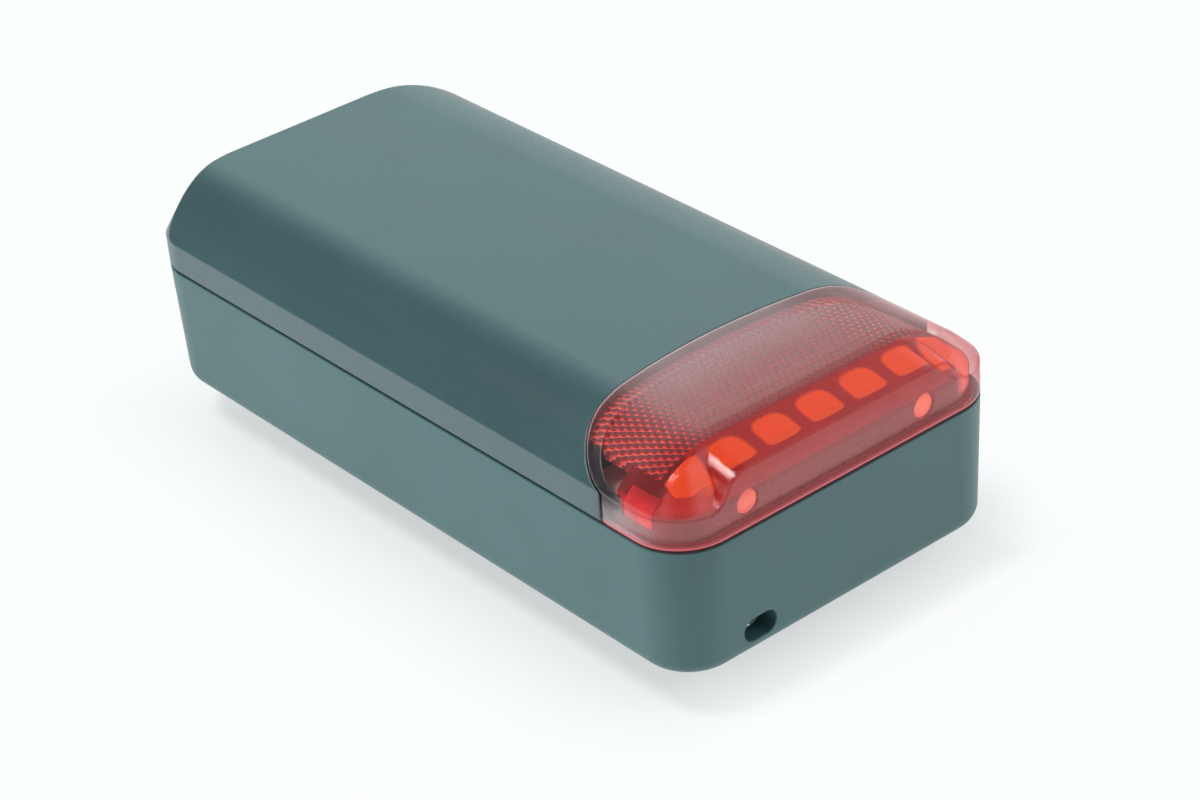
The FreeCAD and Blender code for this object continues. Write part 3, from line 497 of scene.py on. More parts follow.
def gloss_plastic(name, colour, roughness=0.18, glow=0.0):
    """Smooth moulded plastic, with a soft flow drift in the colour. A glow, where given, shines
    the colour as emission: painted light.
    """
    s = Shader(name)
    flow = s.between(s.noise(220.0, 3.0), 0.3, 0.7)
    shaded = s.mix(flow, shade(colour, 0.88), shade(colour, 1.12))
    surface = s.principled(
        Base_Color=shaded,
        Roughness=s.between(flow, 0.0, 1.0, roughness, roughness + 0.06),
        Emission_Color=shaded,
        Emission_Strength=glow,
        Normal=s.bump(s.noise(3000.0), 0.05, 0.00004),
    )
    return s.finish(surface)


def foam(name, colour):
    """Closed cells."""
    s = Shader(name)
    cells = s.node("ShaderNodeTexVoronoi", {"feature": "F1"}, s.place(), Scale=3000.0)
    surface = s.principled(
        Base_Color=s.mix(cells, shade(colour, 1.4), shade(colour, 0.6)),
        Roughness=0.95,
        Normal=s.bump(cells, 0.5, 0.0001),
    )
    return s.finish(surface)


def clear_plastic(name):
    """Polished clear wall. What each face mirrors grows as the view gets flatter to it, as 0.035 +
    0.6 * (1 - cosine) ^ 5. The rest passes a film with a faint grey haziness, which turns red
    where the view runs along the wall, in the creases, on the brow and at the far corner. The film
    grows milkier near the seam and at the wall's foot, a painted sheen in place of the white
    surroundings' reflection, and a pink diffuse layer on the far side is painted sheen too. The
    cut edge at the seam shows as a white line, and the lower edge as a pink one: both glow, a
    painted highlight and a painted glow in place of the light that the edge pipes."""
    s = Shader(name)
    x, y, z = s.parts(s.place())
    off, normal = abs(y), s.rounded(0.0007)
    ahead = s.above(x, FRONT_X, 0.0003)
    outside = 1.0 - s.node("ShaderNodeNewGeometry", None, out="Backfacing")
    facing = s.node("ShaderNodeLayerWeight", None, out="Facing", Blend=0.5, Normal=normal)

    see_through = s.node("ShaderNodeBsdfTransparent", None, (0.99, 0.975, 0.975))
    reddened = s.node("ShaderNodeBsdfTransparent", None, (0.72, 0.06, 0.06))
    # The milky layer is a faint grey haziness and, near the seam and at the foot, painted sheen;
    # the pink layer on the far side is painted sheen.
    haze_and_sheen_layer = s.node("ShaderNodeBsdfDiffuse", None, (0.80, 0.70, 0.72))
    painted_pink_light = s.node("ShaderNodeBsdfDiffuse", None, (0.88, 0.46, 0.48))
    shine = s.node(
        "ShaderNodeBsdfAnisotropic", None, (1.0, 1.0, 1.0), Roughness=0.05, Normal=normal
    )
    # The white cut edge and the pink lower edge glow as emission: a painted highlight and a
    # painted glow.
    frosted_and_glowing = s.principled(
        Base_Color=(0.85, 0.88, 0.90), Roughness=0.3,
        Emission_Color=(0.8, 0.9, 0.95), Emission_Strength=0.2,
    )
    glowing = s.principled(
        Base_Color=(0.55, 0.10, 0.12), Roughness=0.3,
        Emission_Color=(0.7, 0.10, 0.13), Emission_Strength=0.2,
    )

    # Painted sheen near the seam and at the foot, in place of the reflection of the white
    # surroundings.
    past_seam_sheen = s.between(past_bow(x, y), 0.0005, 0.0095, 0.17, 0.0)
    near_seam_sheen = past_seam_sheen * s.below(off, 0.012, 0.004) * s.between(z, 0.027, 0.029)
    foot_sheen = s.between(z, 0.0228, 0.0252, 0.32, 0.0) * s.below(x, 0.0430, 0.0030)
    drift = s.between(s.noise(300.0), 0.3, 0.7, 0.0112, 0.0168)
    haze_and_sheen = drift + near_seam_sheen + foot_sheen

    along_wall = s.between(facing, 0.47, 0.82, 0.0, 0.96)
    creases = s.between(s.turned(0.0008), 0.012, 0.09) * ahead * outside * 0.9
    brow = s.above(z, LENS_BROW_Z, 0.0003) * ahead * 0.22
    corner = s.above(y, FAR_CORNER_Y, 0.0010) * s.above(x, 0.0384, 0.0004) * 0.55
    red = s.calc("MAXIMUM", along_wall, creases)
    red = s.calc("MAXIMUM", red, s.calc("MAXIMUM", brow, corner))
    # Painted sheen on the far side.
    far_sheen = s.between(y, 0.0130, 0.0205) * s.between(x, 0.0400, 0.0430, 0.30, 0.10) * outside

    film = s.mixed(haze_and_sheen, s.mixed(red, see_through, reddened), haze_and_sheen_layer)
    mirrored = facing ** 5.0 * 0.60 + 0.035
    body = s.mixed(mirrored, s.mixed(far_sheen, film, painted_pink_light), shine)
    cut = s.between(s.turned(0.00022), 0.08, 0.20) * (1.0 - ahead) * outside
    lower = s.below(z, LENS_FOOT_Z + 0.000265, 0.000025) * outside
    return s.finish(s.mixed(lower, s.mixed(cut, body, frosted_and_glowing), glowing))


def bezel_plastic(name, colour):
    """Red plastic with painted light, shone as emission: dull on the front wall, a painted glow
    brighter on the brow round the windows and brightest at the corners, in place of the side
    guides shining through it, and painted shade, dark, in the guides' pockets."""
    s = Shader(name)
    x, y, z = s.parts(s.place())
    flow = s.between(s.noise(220.0, 3.0), 0.3, 0.7)
    # Painted light and shade: a glow on the brow and round the windows, at the left corner and,
    # brighter, at the right corner, and shade in the guides' pockets.
    brow = s.above(z, BROW_FOOT_Z, 0.0002)
    pocket_shade = s.above(abs(y), POCKET_Y, 0.00035) * s.below(x, POCKET_X, 0.0003)
    pocket_shade = pocket_shade * s.above(z, POCKET_Z, 0.0002)
    left = s.below(y, LEFT_GLOW_Y, 0.0015) * s.above(z, LEFT_GLOW_Z, 0.0005)
    right = s.above(y, RIGHT_GLOW_Y, 0.00075) * s.above(z, RIGHT_GLOW_Z, 0.0004)
    lit = s.mix(brow, shade(colour, 0.20), (0.26, 0.006, 0.005))
    lit = s.mix(window_light(s) * brow, lit, (0.85, 0.115, 0.008))
    lit = s.mix(left, lit, (0.42, 0.026, 0.014))
    lit = s.mix(right, lit, (1.0, 0.21, 0.14))
    shown = s.mix(flow, shade(colour, 0.88), shade(colour, 1.12))
    surface = s.principled(
        Base_Color=s.mix(pocket_shade, shown, shade(colour, 0.5)),
        Roughness=s.between(flow, 0.0, 1.0, 0.25, 0.31),
        Emission_Color=s.mix(pocket_shade, lit, (0.08, 0.002, 0.003)),
        Emission_Strength=0.8,
        Normal=s.bump(s.noise(3000.0), 0.05, 0.00004),
    )
    return s.finish(surface)


def window_light(s):
    """How far a point of the brow takes the windows' painted glow. Each window's painted glow
    fills a rounded outline, straight towards the light's end: a power of the way along X from its
    middle plus a power of the way across it is 1 there."""
    x, y, _ = s.parts(s.place())
    off = abs(y)
    row = s.calc("PINGPONG", off, WINDOW_PITCH / 2)
    at_corner = s.above(off, LAST_WINDOW_EDGE_Y, 0.00005)
    across = (row + (abs(off - CORNER_WINDOW_Y) - row) * at_corner) / WINDOW_HALF
    along = (x - WINDOW_X + at_corner * CORNER_WINDOW_SHIFT) / WINDOW_HALF_LENGTH
    far, near = s.calc("MAXIMUM", along * -1.0, 0.0), s.calc("MAXIMUM", along, 0.0)
    return s.between((far + near ** 4.0) ** 2.4 + across ** 3.4, 0.70, 1.25, 1.0, 0.0)


def window_plastic(name, colour, dark):
    """Orange plastic with a painted glow, shone as emission as if lit from behind, which darkens
    to red at the windows' borders: painted light fading to painted shade.
    """
    s = Shader(name)
    lit = window_light(s) * s.between(s.noise(900.0), 0.2, 0.8, 0.85, 1.0)
    shaded = s.mix(lit, dark, colour)
    surface = s.principled(
        Base_Color=shaded,
        Roughness=s.between(lit, 0.0, 1.0, 0.45, 0.3),
        Emission_Color=shaded,
        Emission_Strength=0.55,
        Normal=s.bump(s.noise(3000.0), 0.05, 0.00004),
    )
    return s.finish(surface)


def guide_plastic(name, colour):
    """Red plastic block with a painted glow, shone as emission, which is darker and glows less at
    its top.
    """
    s = Shader(name)
    _, _, z = s.parts(s.place())
    flow = s.between(s.noise(420.0, 3.0), 0.3, 0.7)
    shaded = s.mix(flow, shade(colour, 0.8), shade(colour, 1.2))
    shaded = s.mix(s.above(z, GUIDE_TOP_Z, 0.00035), shaded, shade(colour, 0.6))
    surface = s.principled(
        Base_Color=shaded,
        Roughness=s.between(flow, 0.0, 1.0, 0.3, 0.36),
        Emission_Color=shaded,
        Emission_Strength=0.35,
    )
    return s.finish(surface)


def prism_plastic(name, colour):
    """Red plastic seen through to its prisms. The light that they throw back from one side of each
    is painted into the colour, which also glows as emission.
    """
    s = Shader(name)
    flow = s.between(s.noise(220.0, 3.0), 0.3, 0.7)
    shaded = prism_painted_light(s, colour)
    surface = s.principled(
        Base_Color=shaded,
        Metallic=0.25,
        Roughness=s.between(flow, 0.0, 1.0, 0.26, 0.34),
        Emission_Color=shaded,
        Emission_Strength=0.22,
    )
    return s.finish(surface)


def finish_of(node):
    """The material that a CAD node has been given."""
    return frame["nodes"][node].data.materials[0]


def add_object(name, mesh, material, body, replaced):
    """Links a mesh as a piece of the light that rides on a body, in the place of CAD nodes."""
    made = bpy.data.objects.new(name, mesh)
    bpy.context.scene.collection.objects.link(made)
    made.data.materials.append(material)
    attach(made, body)
    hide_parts(*replaced)
    return made


FINISHES = {
    "housing_plastic": lambda c: moulded_plastic("housing_plastic", tuple(c.housing)),
    # The cover's lip shows the prisms' painted light and shade, which glow as emission.
    "cover_plastic": lambda c: moulded_plastic(
        "cover_plastic", tuple(c.cover), 0.36, sheen=1.0, ior=1.6,
        sign=lip_shown, ink_and_painted_light=lip_painted_light, glow=0.16,
    ),
    "clear_lens": lambda c: clear_plastic("clear_lens"),
    # The cord under the lens glows red with painted light.
    "black_rubber": lambda c: rubber(
        "black_rubber", (0.045, 0.070, 0.075), lit=(0.50, 0.04, 0.05)
    ),
    "red_reflector": lambda c: prism_plastic("red_reflector", tuple(c.reflector)),
    "red_bezel": lambda c: bezel_plastic("red_bezel", tuple(c.bezel)),
    "red_diffuser": lambda c: window_plastic("red_diffuser", tuple(c.diffuser), tuple(c.bezel)),
    # The studs glow with painted light.
    "orange_studs": lambda c: gloss_plastic("orange_studs", tuple(c.stud), 0.3, glow=0.4),
    "board_white": lambda c: circuit_board("board_white", (0.70, 0.70, 0.68)),
    "spreader_metal": lambda c: metal("spreader_metal", (0.75, 0.76, 0.78), 0.35),
    "led_white": lambda c: gloss_plastic("led_white", (0.85, 0.80, 0.55), 0.1),
    "screw_steel": lambda c: metal("screw_steel", (0.55, 0.55, 0.57), 0.3),
    "cable_film": lambda c: gloss_plastic("cable_film", (0.45, 0.20, 0.05), 0.2),
    "battery_wrap": lambda c: metal("battery_wrap", (0.62, 0.64, 0.66), 0.4, 0.2),
    "foam": lambda c: foam("foam", (0.03, 0.03, 0.03)),
    "chassis_plastic": lambda c: moulded_plastic("chassis_plastic", (0.02, 0.02, 0.022)),
    "board_green": lambda c: circuit_board("board_green", (0.015, 0.12, 0.05)),
    "chip_black": lambda c: moulded_plastic("chip_black", (0.012, 0.012, 0.014)),
    "connector_plastic": lambda c: moulded_plastic("connector_plastic", (0.62, 0.56, 0.44)),
    "spacer_metal": lambda c: metal("spacer_metal", (0.80, 0.58, 0.25), 0.3),
    "gold_plate": lambda c: metal("gold_plate", (0.90, 0.62, 0.22), 0.22),
    "shield_metal": lambda c: metal("shield_metal", (0.66, 0.66, 0.67), 0.3),
    "door_rubber": lambda c: rubber("door_rubber", (0.030, 0.042, 0.045)),
    "button_plastic": lambda c: moulded_plastic(
        "button_plastic", (0.030, 0.050, 0.056), sign=power_sign, ink_and_painted_light=lambda s: (0.45, 0.50, 0.50)
    ),
    "clear_pipe": lambda c: gloss_plastic("clear_pipe", (0.72, 0.76, 0.75), 0.12),
    "mount_plastic": lambda c: moulded_plastic("mount_plastic", (0.016, 0.018, 0.020), 0.5),
    "vent_film": lambda c: rubber("vent_film", (0.65, 0.65, 0.65)),
}


class TAILLIGHT_OT_finishes(bpy.types.Operator):
    """Give every piece of the frame the finish of its material slot"""

    bl_idname = "taillight.finishes"
    bl_label = "Finish the frame's pieces"

    def execute(self, context):
        colours = context.scene.taillight_colours
        made = {slot: make(colours) for slot, make in FINISHES.items()}
        for part in frame["record"]["subparts"]:
            mesh = frame["nodes"][part["node"]].data
            mesh.materials.clear()
            mesh.materials.append(made[part["material_slot"]])
        guides = frame["nodes"]["side_light_guides"].data
        guides.materials[0] = guide_plastic("light_guide", tuple(colours.guide))
        return {"FINISHED"}


def crown_point(across, inset):
    """Point on the crown's section at a length across it from the middle, and the way out.

    Within the flat half the point is (across, top). Beyond it, the rest of the length divided by
    the radius is the angle of a point on the shoulder's arc.
    """
    r = SHOULDER_R - inset
    angle = np.maximum(np.abs(across) - FLAT_HALF, 0) / r
    side = np.sign(across)
    y = side * (np.minimum(np.abs(across), FLAT_HALF) + r * np.sin(angle))
    z = SHOULDER_CENTRE_Z + r * np.cos(angle)
    return y, z, side * np.sin(angle), np.cos(angle)


def seam_x(y, shift):
    """Where the bowed seam, moved by shift towards the light, lies at a distance y off the middle.

    A wide arc about the middle meets a smaller arc at each side: at each y the point is the one
    on the arc whose part of the curve that y falls in.
    """
    away = math.atan2(SEAM_SIDE_Y, SEAM_SIDE_X - BOW_X)
    join_y = (BOW_R - shift) * math.sin(away)
    y = np.abs(y)
    wide = BOW_X - np.sqrt(np.maximum((BOW_R - shift) ** 2 - y**2, 0))
    side_r = SEAM_SIDE_R - shift
    side = SEAM_SIDE_X - np.sqrt(np.maximum(side_r**2 - (y - SEAM_SIDE_Y) ** 2, 0))
    return np.where(y < join_y, wide, side)


def grid_mesh(name, points, closed=False):
    """A mesh from a grid of points: the faces join rows and columns, and where closed, also the
    last column and the first."""
    rows, columns = points.shape[:2]
    index = np.arange(rows * columns).reshape(rows, columns)
    a, b = index[:-1], index[1:]
    if closed:
        quads = np.stack([a, b, np.roll(b, -1, 1), np.roll(a, -1, 1)], -1)
    else:
        quads = np.stack([a[:, :-1], b[:, :-1], b[:, 1:], a[:, 1:]], -1)
    mesh = bpy.data.meshes.new(name)
    mesh.from_pydata(points.reshape(-1, 3).tolist(), [], quads.reshape(-1, 4).tolist())
    mesh.polygons.foreach_set("use_smooth", [True] * len(mesh.polygons))
    mesh.update()
    return mesh


def hexagon_points(centre, arm):
    """The centres of hexagons with their six corners, one row of seven for each: the corners
    lie at the arm's steps from the centre."""
    return np.concatenate([centre[..., None], centre[..., None] + arm], -1).reshape(-1, 7)


def prism_mesh(pitch, depth):
    """Reflector plate whose outer face is a honeycomb of cube corners.

    Cell centres lie on a triangular lattice of the pitch, measured along X and along the crown's
    section. Round each centre, the six corners of its hexagon lie in turn at half the depth and
    at none, and the centre at the full depth, so that each cell is three flat rhombuses. Points
    past the plate's outline are drawn back onto it.
    """
    low, high = np.array(REFLECTOR_LOW) * MM, np.array(REFLECTOR_HIGH) * MM
    r = SHOULDER_R - REFLECTOR_INSET
    reach = FLAT_HALF + r * math.acos((low[2] - SHOULDER_CENTRE_Z) / r)
    step, ring = pitch * math.sqrt(3) / 2, pitch / math.sqrt(3)
    columns = np.arange(-1, int((high[0] - low[0]) / step) + 3)
    rows = np.arange(-int(reach / pitch) - 2, int(reach / pitch) + 3)
    grid_x, grid_s = np.meshgrid(columns, rows, indexing="ij")
    turns = np.radians(np.arange(6) * 60.0)
    x = hexagon_points(high[0] - grid_x * step, ring * np.cos(turns))
    s = hexagon_points((grid_s + 0.5 * (grid_x % 2)) * pitch, ring * np.sin(turns))
    past_border = x > seam_x(crown_point(s, REFLECTOR_INSET)[0], SEAM_BORDER)
    kept = (past_border & (x < high[0]) & (np.abs(s) < reach)).any(1)
    x, s = x[kept], np.clip(s[kept], -reach, reach)
    y, z, out_y, out_z = crown_point(s, REFLECTOR_INSET)
    x = np.clip(x, seam_x(y, SEAM_BORDER), high[0])
    sunk = np.array([1.0, 0.5, 0.0, 0.5, 0.0, 0.5, 0.0]) * depth
    top = np.stack([x, y - out_y * sunk, z - out_z * sunk], -1).reshape(-1, 3)
    rhombuses = np.array([[0, 1, 2, 3], [0, 3, 4, 5], [0, 5, 6, 1]])
    quads = (np.arange(len(x))[:, None, None] * 7 + rhombuses).reshape(-1, 4)
    plate = bpy.data.meshes.new("prism_field")
    plate.from_pydata((top / MM).tolist(), [], quads.tolist())
    thicken(plate, REFLECTOR_THICKNESS / MM)
    return plate


def thicken(plate, thickness):
    """Joins the cells of a face, then draws its outline straight down and closes it below."""
    built = bmesh.new()
    built.from_mesh(plate)
    bmesh.ops.remove_doubles(built, verts=built.verts, dist=2e-6)
    bmesh.ops.dissolve_degenerate(built, edges=built.edges, dist=1e-6)
    outline = [edge for edge in built.edges if edge.is_boundary]
    skirt = bmesh.ops.extrude_edge_only(built, edges=outline)["geom"]
    lowered = [v for v in skirt if isinstance(v, bmesh.types.BMVert)]
    bmesh.ops.translate(built, verts=lowered, vec=(0.0, 0.0, -thickness))
    bmesh.ops.holes_fill(built, edges=[e for e in built.edges if e.is_boundary], sides=0)
    bmesh.ops.triangulate(built, faces=[f for f in built.faces if len(f.verts) > 4])
    bmesh.ops.recalc_face_normals(built, faces=built.faces)
    built.to_mesh(plate)
    built.free()


class TAILLIGHT_OT_prisms(bpy.types.Operator):
    """Make the reflector's field of prisms under the lens"""

    bl_idname = "taillight.prisms"
    bl_label = "Prism field"

    def execute(self, context):
        sizes = context.scene.taillight_sizes
        mesh = prism_mesh(sizes.prism_pitch * MM, sizes.prism_depth * MM)
        red = finish_of("reflex_reflector")
        add_object("prism_field", mesh, red, "case", ["reflex_reflector"])
        return {"FINISHED"}


def node_points(name):
    """The corner points of a CAD node, in metres, as an array."""
    mesh = frame["nodes"][name].data
    points = np.empty(len(mesh.vertices) * 3, np.float32)
    mesh.vertices.foreach_get("co", points)
    return points.reshape(-1, 3).astype(float)


def turned_mesh(name, radius, height, spots, axis):
    """Round pieces in one mesh, each turned about a line through its spot.

    A point at the angle a lies at radius * (cos a, sin a) off the line and at its height along
    it. The radius may differ from angle to angle. The first and last rows close on the line.
    """
    rows, turns = radius.shape
    angle = np.arange(turns) * 2 * math.pi / turns
    off = np.stack([radius * np.cos(angle), radius * np.sin(angle)], -1)
    along = np.broadcast_to(height[:, None, None], (rows, turns, 1))
    points = np.concatenate([off, along] if axis == "z" else [along, off], -1)
    built = bmesh.new()
    for spot in spots:
        built.from_mesh(grid_mesh(name, points + spot, closed=True))
    bmesh.ops.remove_doubles(built, verts=built.verts, dist=1e-7)
    bmesh.ops.recalc_face_normals(built, faces=built.faces)
    mesh = bpy.data.meshes.new(name)
    built.to_mesh(mesh)
    built.free()
    return mesh


def screw_places(points):
    """The middles of a node's four screws, from its points, and the radius of their heads. One
    screw lies in each quarter round the node's middle."""
    middle = (points.min(0) + points.max(0)) / 2
    spots = []
    for sign_x in (-1, 1):
        for sign_y in (-1, 1):
            own = points[((points - middle)[:, :2] * (sign_x, sign_y) > 0).all(1)]
            spots.append((own.min(0) + own.max(0)) / 2 * (1, 1, 0))
    return spots, (own[:, 0].max() - own[:, 0].min()) / 2


def screw_mesh(name, node, head_height, shank_share):
    """Screws with their heads down, in the places of a CAD node's screws.

    The shank's radius is its full size less a thread's depth times a saw of the height over the
    pitch plus the turn. The head is a rounded disc whose six-lobed recess has the radius
    R * (1 + 0.13 * cos(6 * a)).
    """
    points = node_points(node)
    spots, head_r = screw_places(points)
    low, high = points[:, 2].min(), points[:, 2].max()
    shank_r = head_r * shank_share
    turns, pitch, thread_depth = 36, 0.0006, 0.16
    recess, head_end, tip_length = low + head_height * 0.62, low + head_height, 0.0004
    angle = np.arange(turns) * 2 * math.pi / turns
    lobes = head_r * 0.46 * (1 + 0.13 * np.cos(6 * angle))
    ones = np.ones(turns)
    head = [
        (0 * ones, recess + 0.0001), (lobes * 0.86, recess), (lobes, low + 0.00008),
        (lobes * 1.08, low), (head_r * 0.80 * ones, low), (head_r * 0.95 * ones, low + 0.00010),
        (head_r * ones, low + 0.00032), (head_r * ones, head_end - 0.00008),
        (head_r * 0.97 * ones, head_end), (shank_r * 1.02 * ones, head_end),
        (shank_r * ones, head_end + 0.0001),
    ]
    threaded = np.arange(head_end + pitch, high - pitch, pitch / 4)
    saw = np.abs(((threaded[:, None] / pitch + angle / (2 * math.pi)) % 1.0) * 2 - 1)
    thread = list(zip(shank_r * (1 - thread_depth * saw), threaded))
    tip = [
        (shank_r * 0.84 * ones, high - tip_length), (shank_r * 0.55 * ones, high),
        (0 * ones, high),
    ]
    radius, height = (np.array(column) for column in zip(*head, *thread, *tip))
    return turned_mesh(name, radius, height, spots, "z")


class TAILLIGHT_OT_screws(bpy.types.Operator):
    """Make the case's and the mount's screws with their threads and drives"""

    bl_idname = "taillight.screws"
    bl_label = "Screws"

    def execute(self, context):
        steel = finish_of("case_screws")
        for name, node, head_height, share in (
            ("case_screws_threaded", "case_screws", 0.0014, 1.0 / 1.9),
            ("mount_screws_threaded", "mount_screws", 0.0012, 1.1 / 1.9),
        ):
            mesh = screw_mesh(name, node, head_height, share)
            add_object(name, mesh, steel, "case", [node])
        return {"FINISHED"}


class TAILLIGHT_OT_studs(bpy.types.Operator):
    """Make the two studs in the end as low domes, nearly flush with their holes"""

    bl_idname = "taillight.studs"
    bl_label = "End studs"

    def execute(self, context):
        r = (STUDS_HIGH[2] - STUDS_LOW[2]) / 2
        side, dome, turns = 0.0012, 0.00036, 40
        tilt = np.radians(np.linspace(0, 90, 10))
        radius = np.concatenate([[0, r * 0.9, r], r * np.cos(tilt) * 0.98])
        height = np.concatenate([[0, 0, 0.0001], side + dome * np.sin(tilt)])
        spots = [
            np.array((STUDS_LOW[0], y, STUDS_LOW[2] + r))
            for y in (STUDS_LOW[1] + r, STUDS_HIGH[1] - r)
        ]
        around = np.repeat(radius[:, None], turns, 1)
        mesh = turned_mesh("stud_domes", around, height, spots, "x")
        orange = finish_of("bezel_studs")
        add_object("stud_domes", mesh, orange, "case", ["bezel_studs"])
        return {"FINISHED"}


class TAILLIGHT_OT_stage(bpy.types.Operator):
    """Set up the table, the lamps, the world and the camera"""

    bl_idname = "taillight.stage"
    bl_label = "Stage, lamps and camera"

    def execute(self, context):
        make_floor(context.scene.taillight_colours)
        make_world(context.scene)
        make_lamps(context.scene)
        make_camera(context.scene)
        context.scene.view_settings.view_transform = "Standard"
        return {"FINISHED"}


def make_floor(colours):
    """A flat table top, far larger than the view: points on a square grid at the light's foot. It
    whitens away from the light, keeps its shadow near it, and can't be seen from below."""
    reach, drop = 3.0, 0.00005
    line = np.linspace(-reach, reach, 3)
    x, y = np.meshgrid(line, line, indexing="ij")
    mesh = grid_mesh("table", np.stack([x, y, np.full_like(x, -drop)], -1))
    floor = bpy.data.objects.new("table", mesh)
    bpy.context.scene.collection.objects.link(floor)
    mesh.materials.append(table_top(tuple(colours.floor)))


def table_top(colour):
    """Pale speckled top. What the camera, gloss and glass see of it turns white with the distance
    to the light's box, sooner ahead of the light: a painted white that lightens the cast shadow's
    outer part, most ahead of the light. The back of it is clear."""
    s = Shader("table_top")
    speck = s.between(s.noise(40.0, 4.0), 0.4, 0.6)
    surface = s.principled(
        Base_Color=s.mix(speck, shade(colour, 0.985), colour),
        Roughness=0.8,
        Specular_IOR_Level=0.2,
    )
    white = s.node("ShaderNodeEmission", None, (0.98, 1.0, 1.0), 1.0)
    unseen = s.node("ShaderNodeBsdfTransparent")
    below = s.node("ShaderNodeNewGeometry", None, out="Backfacing")
    seen = s.node("ShaderNodeLightPath", None, out="Is Camera Ray")
    for other in ("Is Glossy Ray", "Is Transmission Ray"):
        seen = s.calc("MAXIMUM", seen, s.node("ShaderNodeLightPath", None, out=other))
    x, y, _ = s.parts(s.place())
    off_x = s.calc("MAXIMUM", abs(x) - BOX_HIGH[0], 0.0)
    off_y = s.calc("MAXIMUM", abs(y) - BOX_HIGH[1], 0.0)
    least, most, fade = 0.52, 0.96, 0.014
    away = s.between((off_x * off_x + off_y * off_y) ** 0.5, 0.0, fade, least, most)
    # Painted light: the white grows sooner ahead of the light's end, which lightens the cast
    # shadow there.
    away = s.calc("MINIMUM", away + s.between(x, 0.040, 0.055, 0.0, 0.40), most)
    return s.finish(s.mixed(below, s.mixed(seen * away, surface, white), unseen))


def make_world(scene):
    """White for the camera, mirrors and glass, with one dark side, and a soft light that is
    weaker from the camera's side."""
    world = bpy.data.worlds.new("studio")
    scene.world = world
    world.use_nodes = True
    tree = world.node_tree
    tree.nodes.clear()
    coords = tree.nodes.new("ShaderNodeTexCoord")

    def background(colour):
        made = tree.nodes.new("ShaderNodeBackground")
        made.inputs[0].default_value = (*colour, 1)
        made.inputs[1].default_value = 1.0
        return made

    def towards(direction, low, high, strength_low, strength_high):
        """A strength that changes smoothly with the cosine to a direction."""
        dot = tree.nodes.new("ShaderNodeVectorMath")
        dot.operation = "DOT_PRODUCT"
        dot.inputs[1].default_value = Vector(direction).normalized()
        tree.links.new(coords.outputs["Generated"], dot.inputs[0])
        ranged = tree.nodes.new("ShaderNodeMapRange")
        ranged.interpolation_type = "SMOOTHSTEP"
        for index, value in enumerate((low, high, strength_low, strength_high), 1):
            ranged.inputs[index].default_value = value
        tree.links.new(dot.outputs["Value"], ranged.inputs[0])
        return ranged.outputs[0]

    camera_side, dark_side = (0.75, -0.62, 0.25), (-0.30, -0.25, 0.92)
    light = background((0.96, 1.0, 1.0))
    tree.links.new(towards(camera_side, 0.1, 0.9, 0.60, 0.16), light.inputs[1])
    mirrored = background((0.86, 1.0, 1.0))
    tree.links.new(towards(dark_side, 0.50, 0.74, 1.0, 0.07), mirrored.inputs[1])
    seen = background((0.975, 1.0, 0.995))
    path = tree.nodes.new("ShaderNodeLightPath")
    either = tree.nodes.new("ShaderNodeMath")
    either.operation = "MAXIMUM"
    tree.links.new(path.outputs["Is Glossy Ray"], either.inputs[0])
    tree.links.new(path.outputs["Is Transmission Ray"], either.inputs[1])
    shine = tree.nodes.new("ShaderNodeMixShader")
    mix = tree.nodes.new("ShaderNodeMixShader")
    out = tree.nodes.new("ShaderNodeOutputWorld")
    tree.links.new(either.outputs[0], shine.inputs[0])
    tree.links.new(light.outputs[0], shine.inputs[1])
    tree.links.new(mirrored.outputs[0], shine.inputs[2])
    tree.links.new(path.outputs["Is Camera Ray"], mix.inputs[0])
    tree.links.new(shine.outputs[0], mix.inputs[1])
    tree.links.new(seen.outputs[0], mix.inputs[2])
    tree.links.new(mix.outputs[0], out.inputs[0])


def make_lamps(scene):
    """Square soft boxes that face the light: name, place, side, power, colour, and whether
    gloss mirrors them."""
    white, cyan = (1.0, 1.0, 1.0), (0.55, 1.0, 1.0)
    aim = Vector((0.0, 0.0, 0.015))
    for name, place, size, power, colour, mirrored in (
        ("overhead_softbox", (-0.13, -0.33, 0.84), 0.25, 3.0, white, True),
        ("back_softbox", (-0.78, 0.60, 0.60), 0.7, 0.6, cyan, True),
        ("left_softbox", (-0.50, -0.87, 0.30), 0.6, 5.2, white, False),
        ("right_softbox", (0.85, 0.65, 0.35), 0.6, 3.6, white, False),
    ):
        lamp = bpy.data.lights.new(name, "AREA")
        lamp.color = colour
        lamp.shape = "SQUARE"
        lamp.size = size
        lamp.energy = power
        thing = bpy.data.objects.new(name, lamp)
        thing.location = place
        thing.rotation_euler = (aim - Vector(place)).to_track_quat("-Z", "Y").to_euler()
        thing.visible_glossy = mirrored
        scene.collection.objects.link(thing)


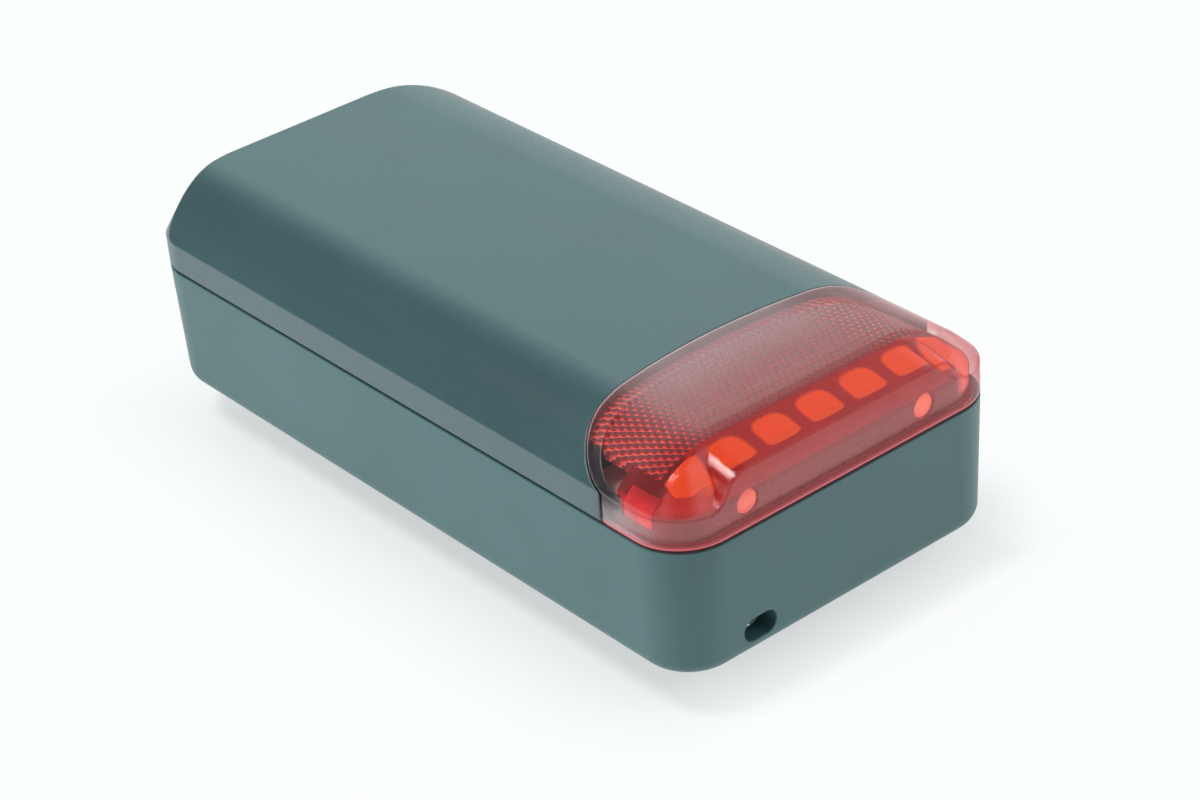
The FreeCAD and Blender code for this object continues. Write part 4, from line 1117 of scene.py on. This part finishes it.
def make_camera(scene):
    """The photograph's viewpoint: direction, roll, distance and aim. The focal length is that of
    a camera fitted to the photograph, in its pixels."""
    azimuth, elevation, roll = (math.radians(v) for v in (-37.90, 31.27, -4.7695))
    distance, aim_x, aim_y, lift = 0.38809, 0.004143, 0.004561, 0.0052
    focal_pixels, photo_width, sensor_width = 3250.94, 1200, 36.0
    level = math.cos(elevation)
    back = Vector(
        (level * math.cos(azimuth), level * math.sin(azimuth), math.sin(elevation))
    )
    right = Vector((0, 0, 1)).cross(back).normalized()
    up = back.cross(right)
    turned_right = math.cos(roll) * right + math.sin(roll) * up
    turned_up = -math.sin(roll) * right + math.cos(roll) * up
    place = back * distance + turned_right * aim_x + turned_up * aim_y + Vector((0, 0, lift))
    camera = bpy.data.cameras.new("camera")
    camera.sensor_width = sensor_width
    camera.lens = focal_pixels / photo_width * sensor_width
    camera.clip_start = 0.01
    thing = bpy.data.objects.new("camera", camera)
    rotation = Matrix((turned_right, turned_up, back)).transposed()
    thing.matrix_world = Matrix.Translation(place) @ rotation.to_4x4()
    scene.collection.objects.link(thing)
    scene.camera = thing


class TAILLIGHT_PT_panel(bpy.types.Panel):
    """List the sizes, the colours and the pieces in the sidebar"""

    bl_label = "Radar tail light"
    bl_idname = "TAILLIGHT_PT_panel"
    bl_space_type = "VIEW_3D"
    bl_region_type = "UI"
    bl_category = "Tail light"

    def draw(self, context):
        for group in (context.scene.taillight_sizes, context.scene.taillight_colours):
            for name in group.__annotations__:
                self.layout.prop(group, name)
        for operator in OPERATORS:
            self.layout.operator(operator.bl_idname)


OPERATORS = (
    TAILLIGHT_OT_finishes,
    TAILLIGHT_OT_prisms,
    TAILLIGHT_OT_studs,
    TAILLIGHT_OT_screws,
    TAILLIGHT_OT_stage,
)
CLASSES = (TailLightSizes, TailLightColours, *OPERATORS, TAILLIGHT_PT_panel)


def register():
    for made in CLASSES:
        bpy.utils.register_class(made)
    bpy.types.Scene.taillight_sizes = PointerProperty(type=TailLightSizes)
    bpy.types.Scene.taillight_colours = PointerProperty(type=TailLightColours)


def unregister():
    del bpy.types.Scene.taillight_sizes
    del bpy.types.Scene.taillight_colours
    for made in reversed(CLASSES):
        bpy.utils.unregister_class(made)


def main():
    register()
    bpy.ops.taillight.finishes()
    bpy.ops.taillight.prisms()
    bpy.ops.taillight.studs()
    bpy.ops.taillight.screws()
    bpy.ops.taillight.stage()


if __name__ == "__main__":
    main()
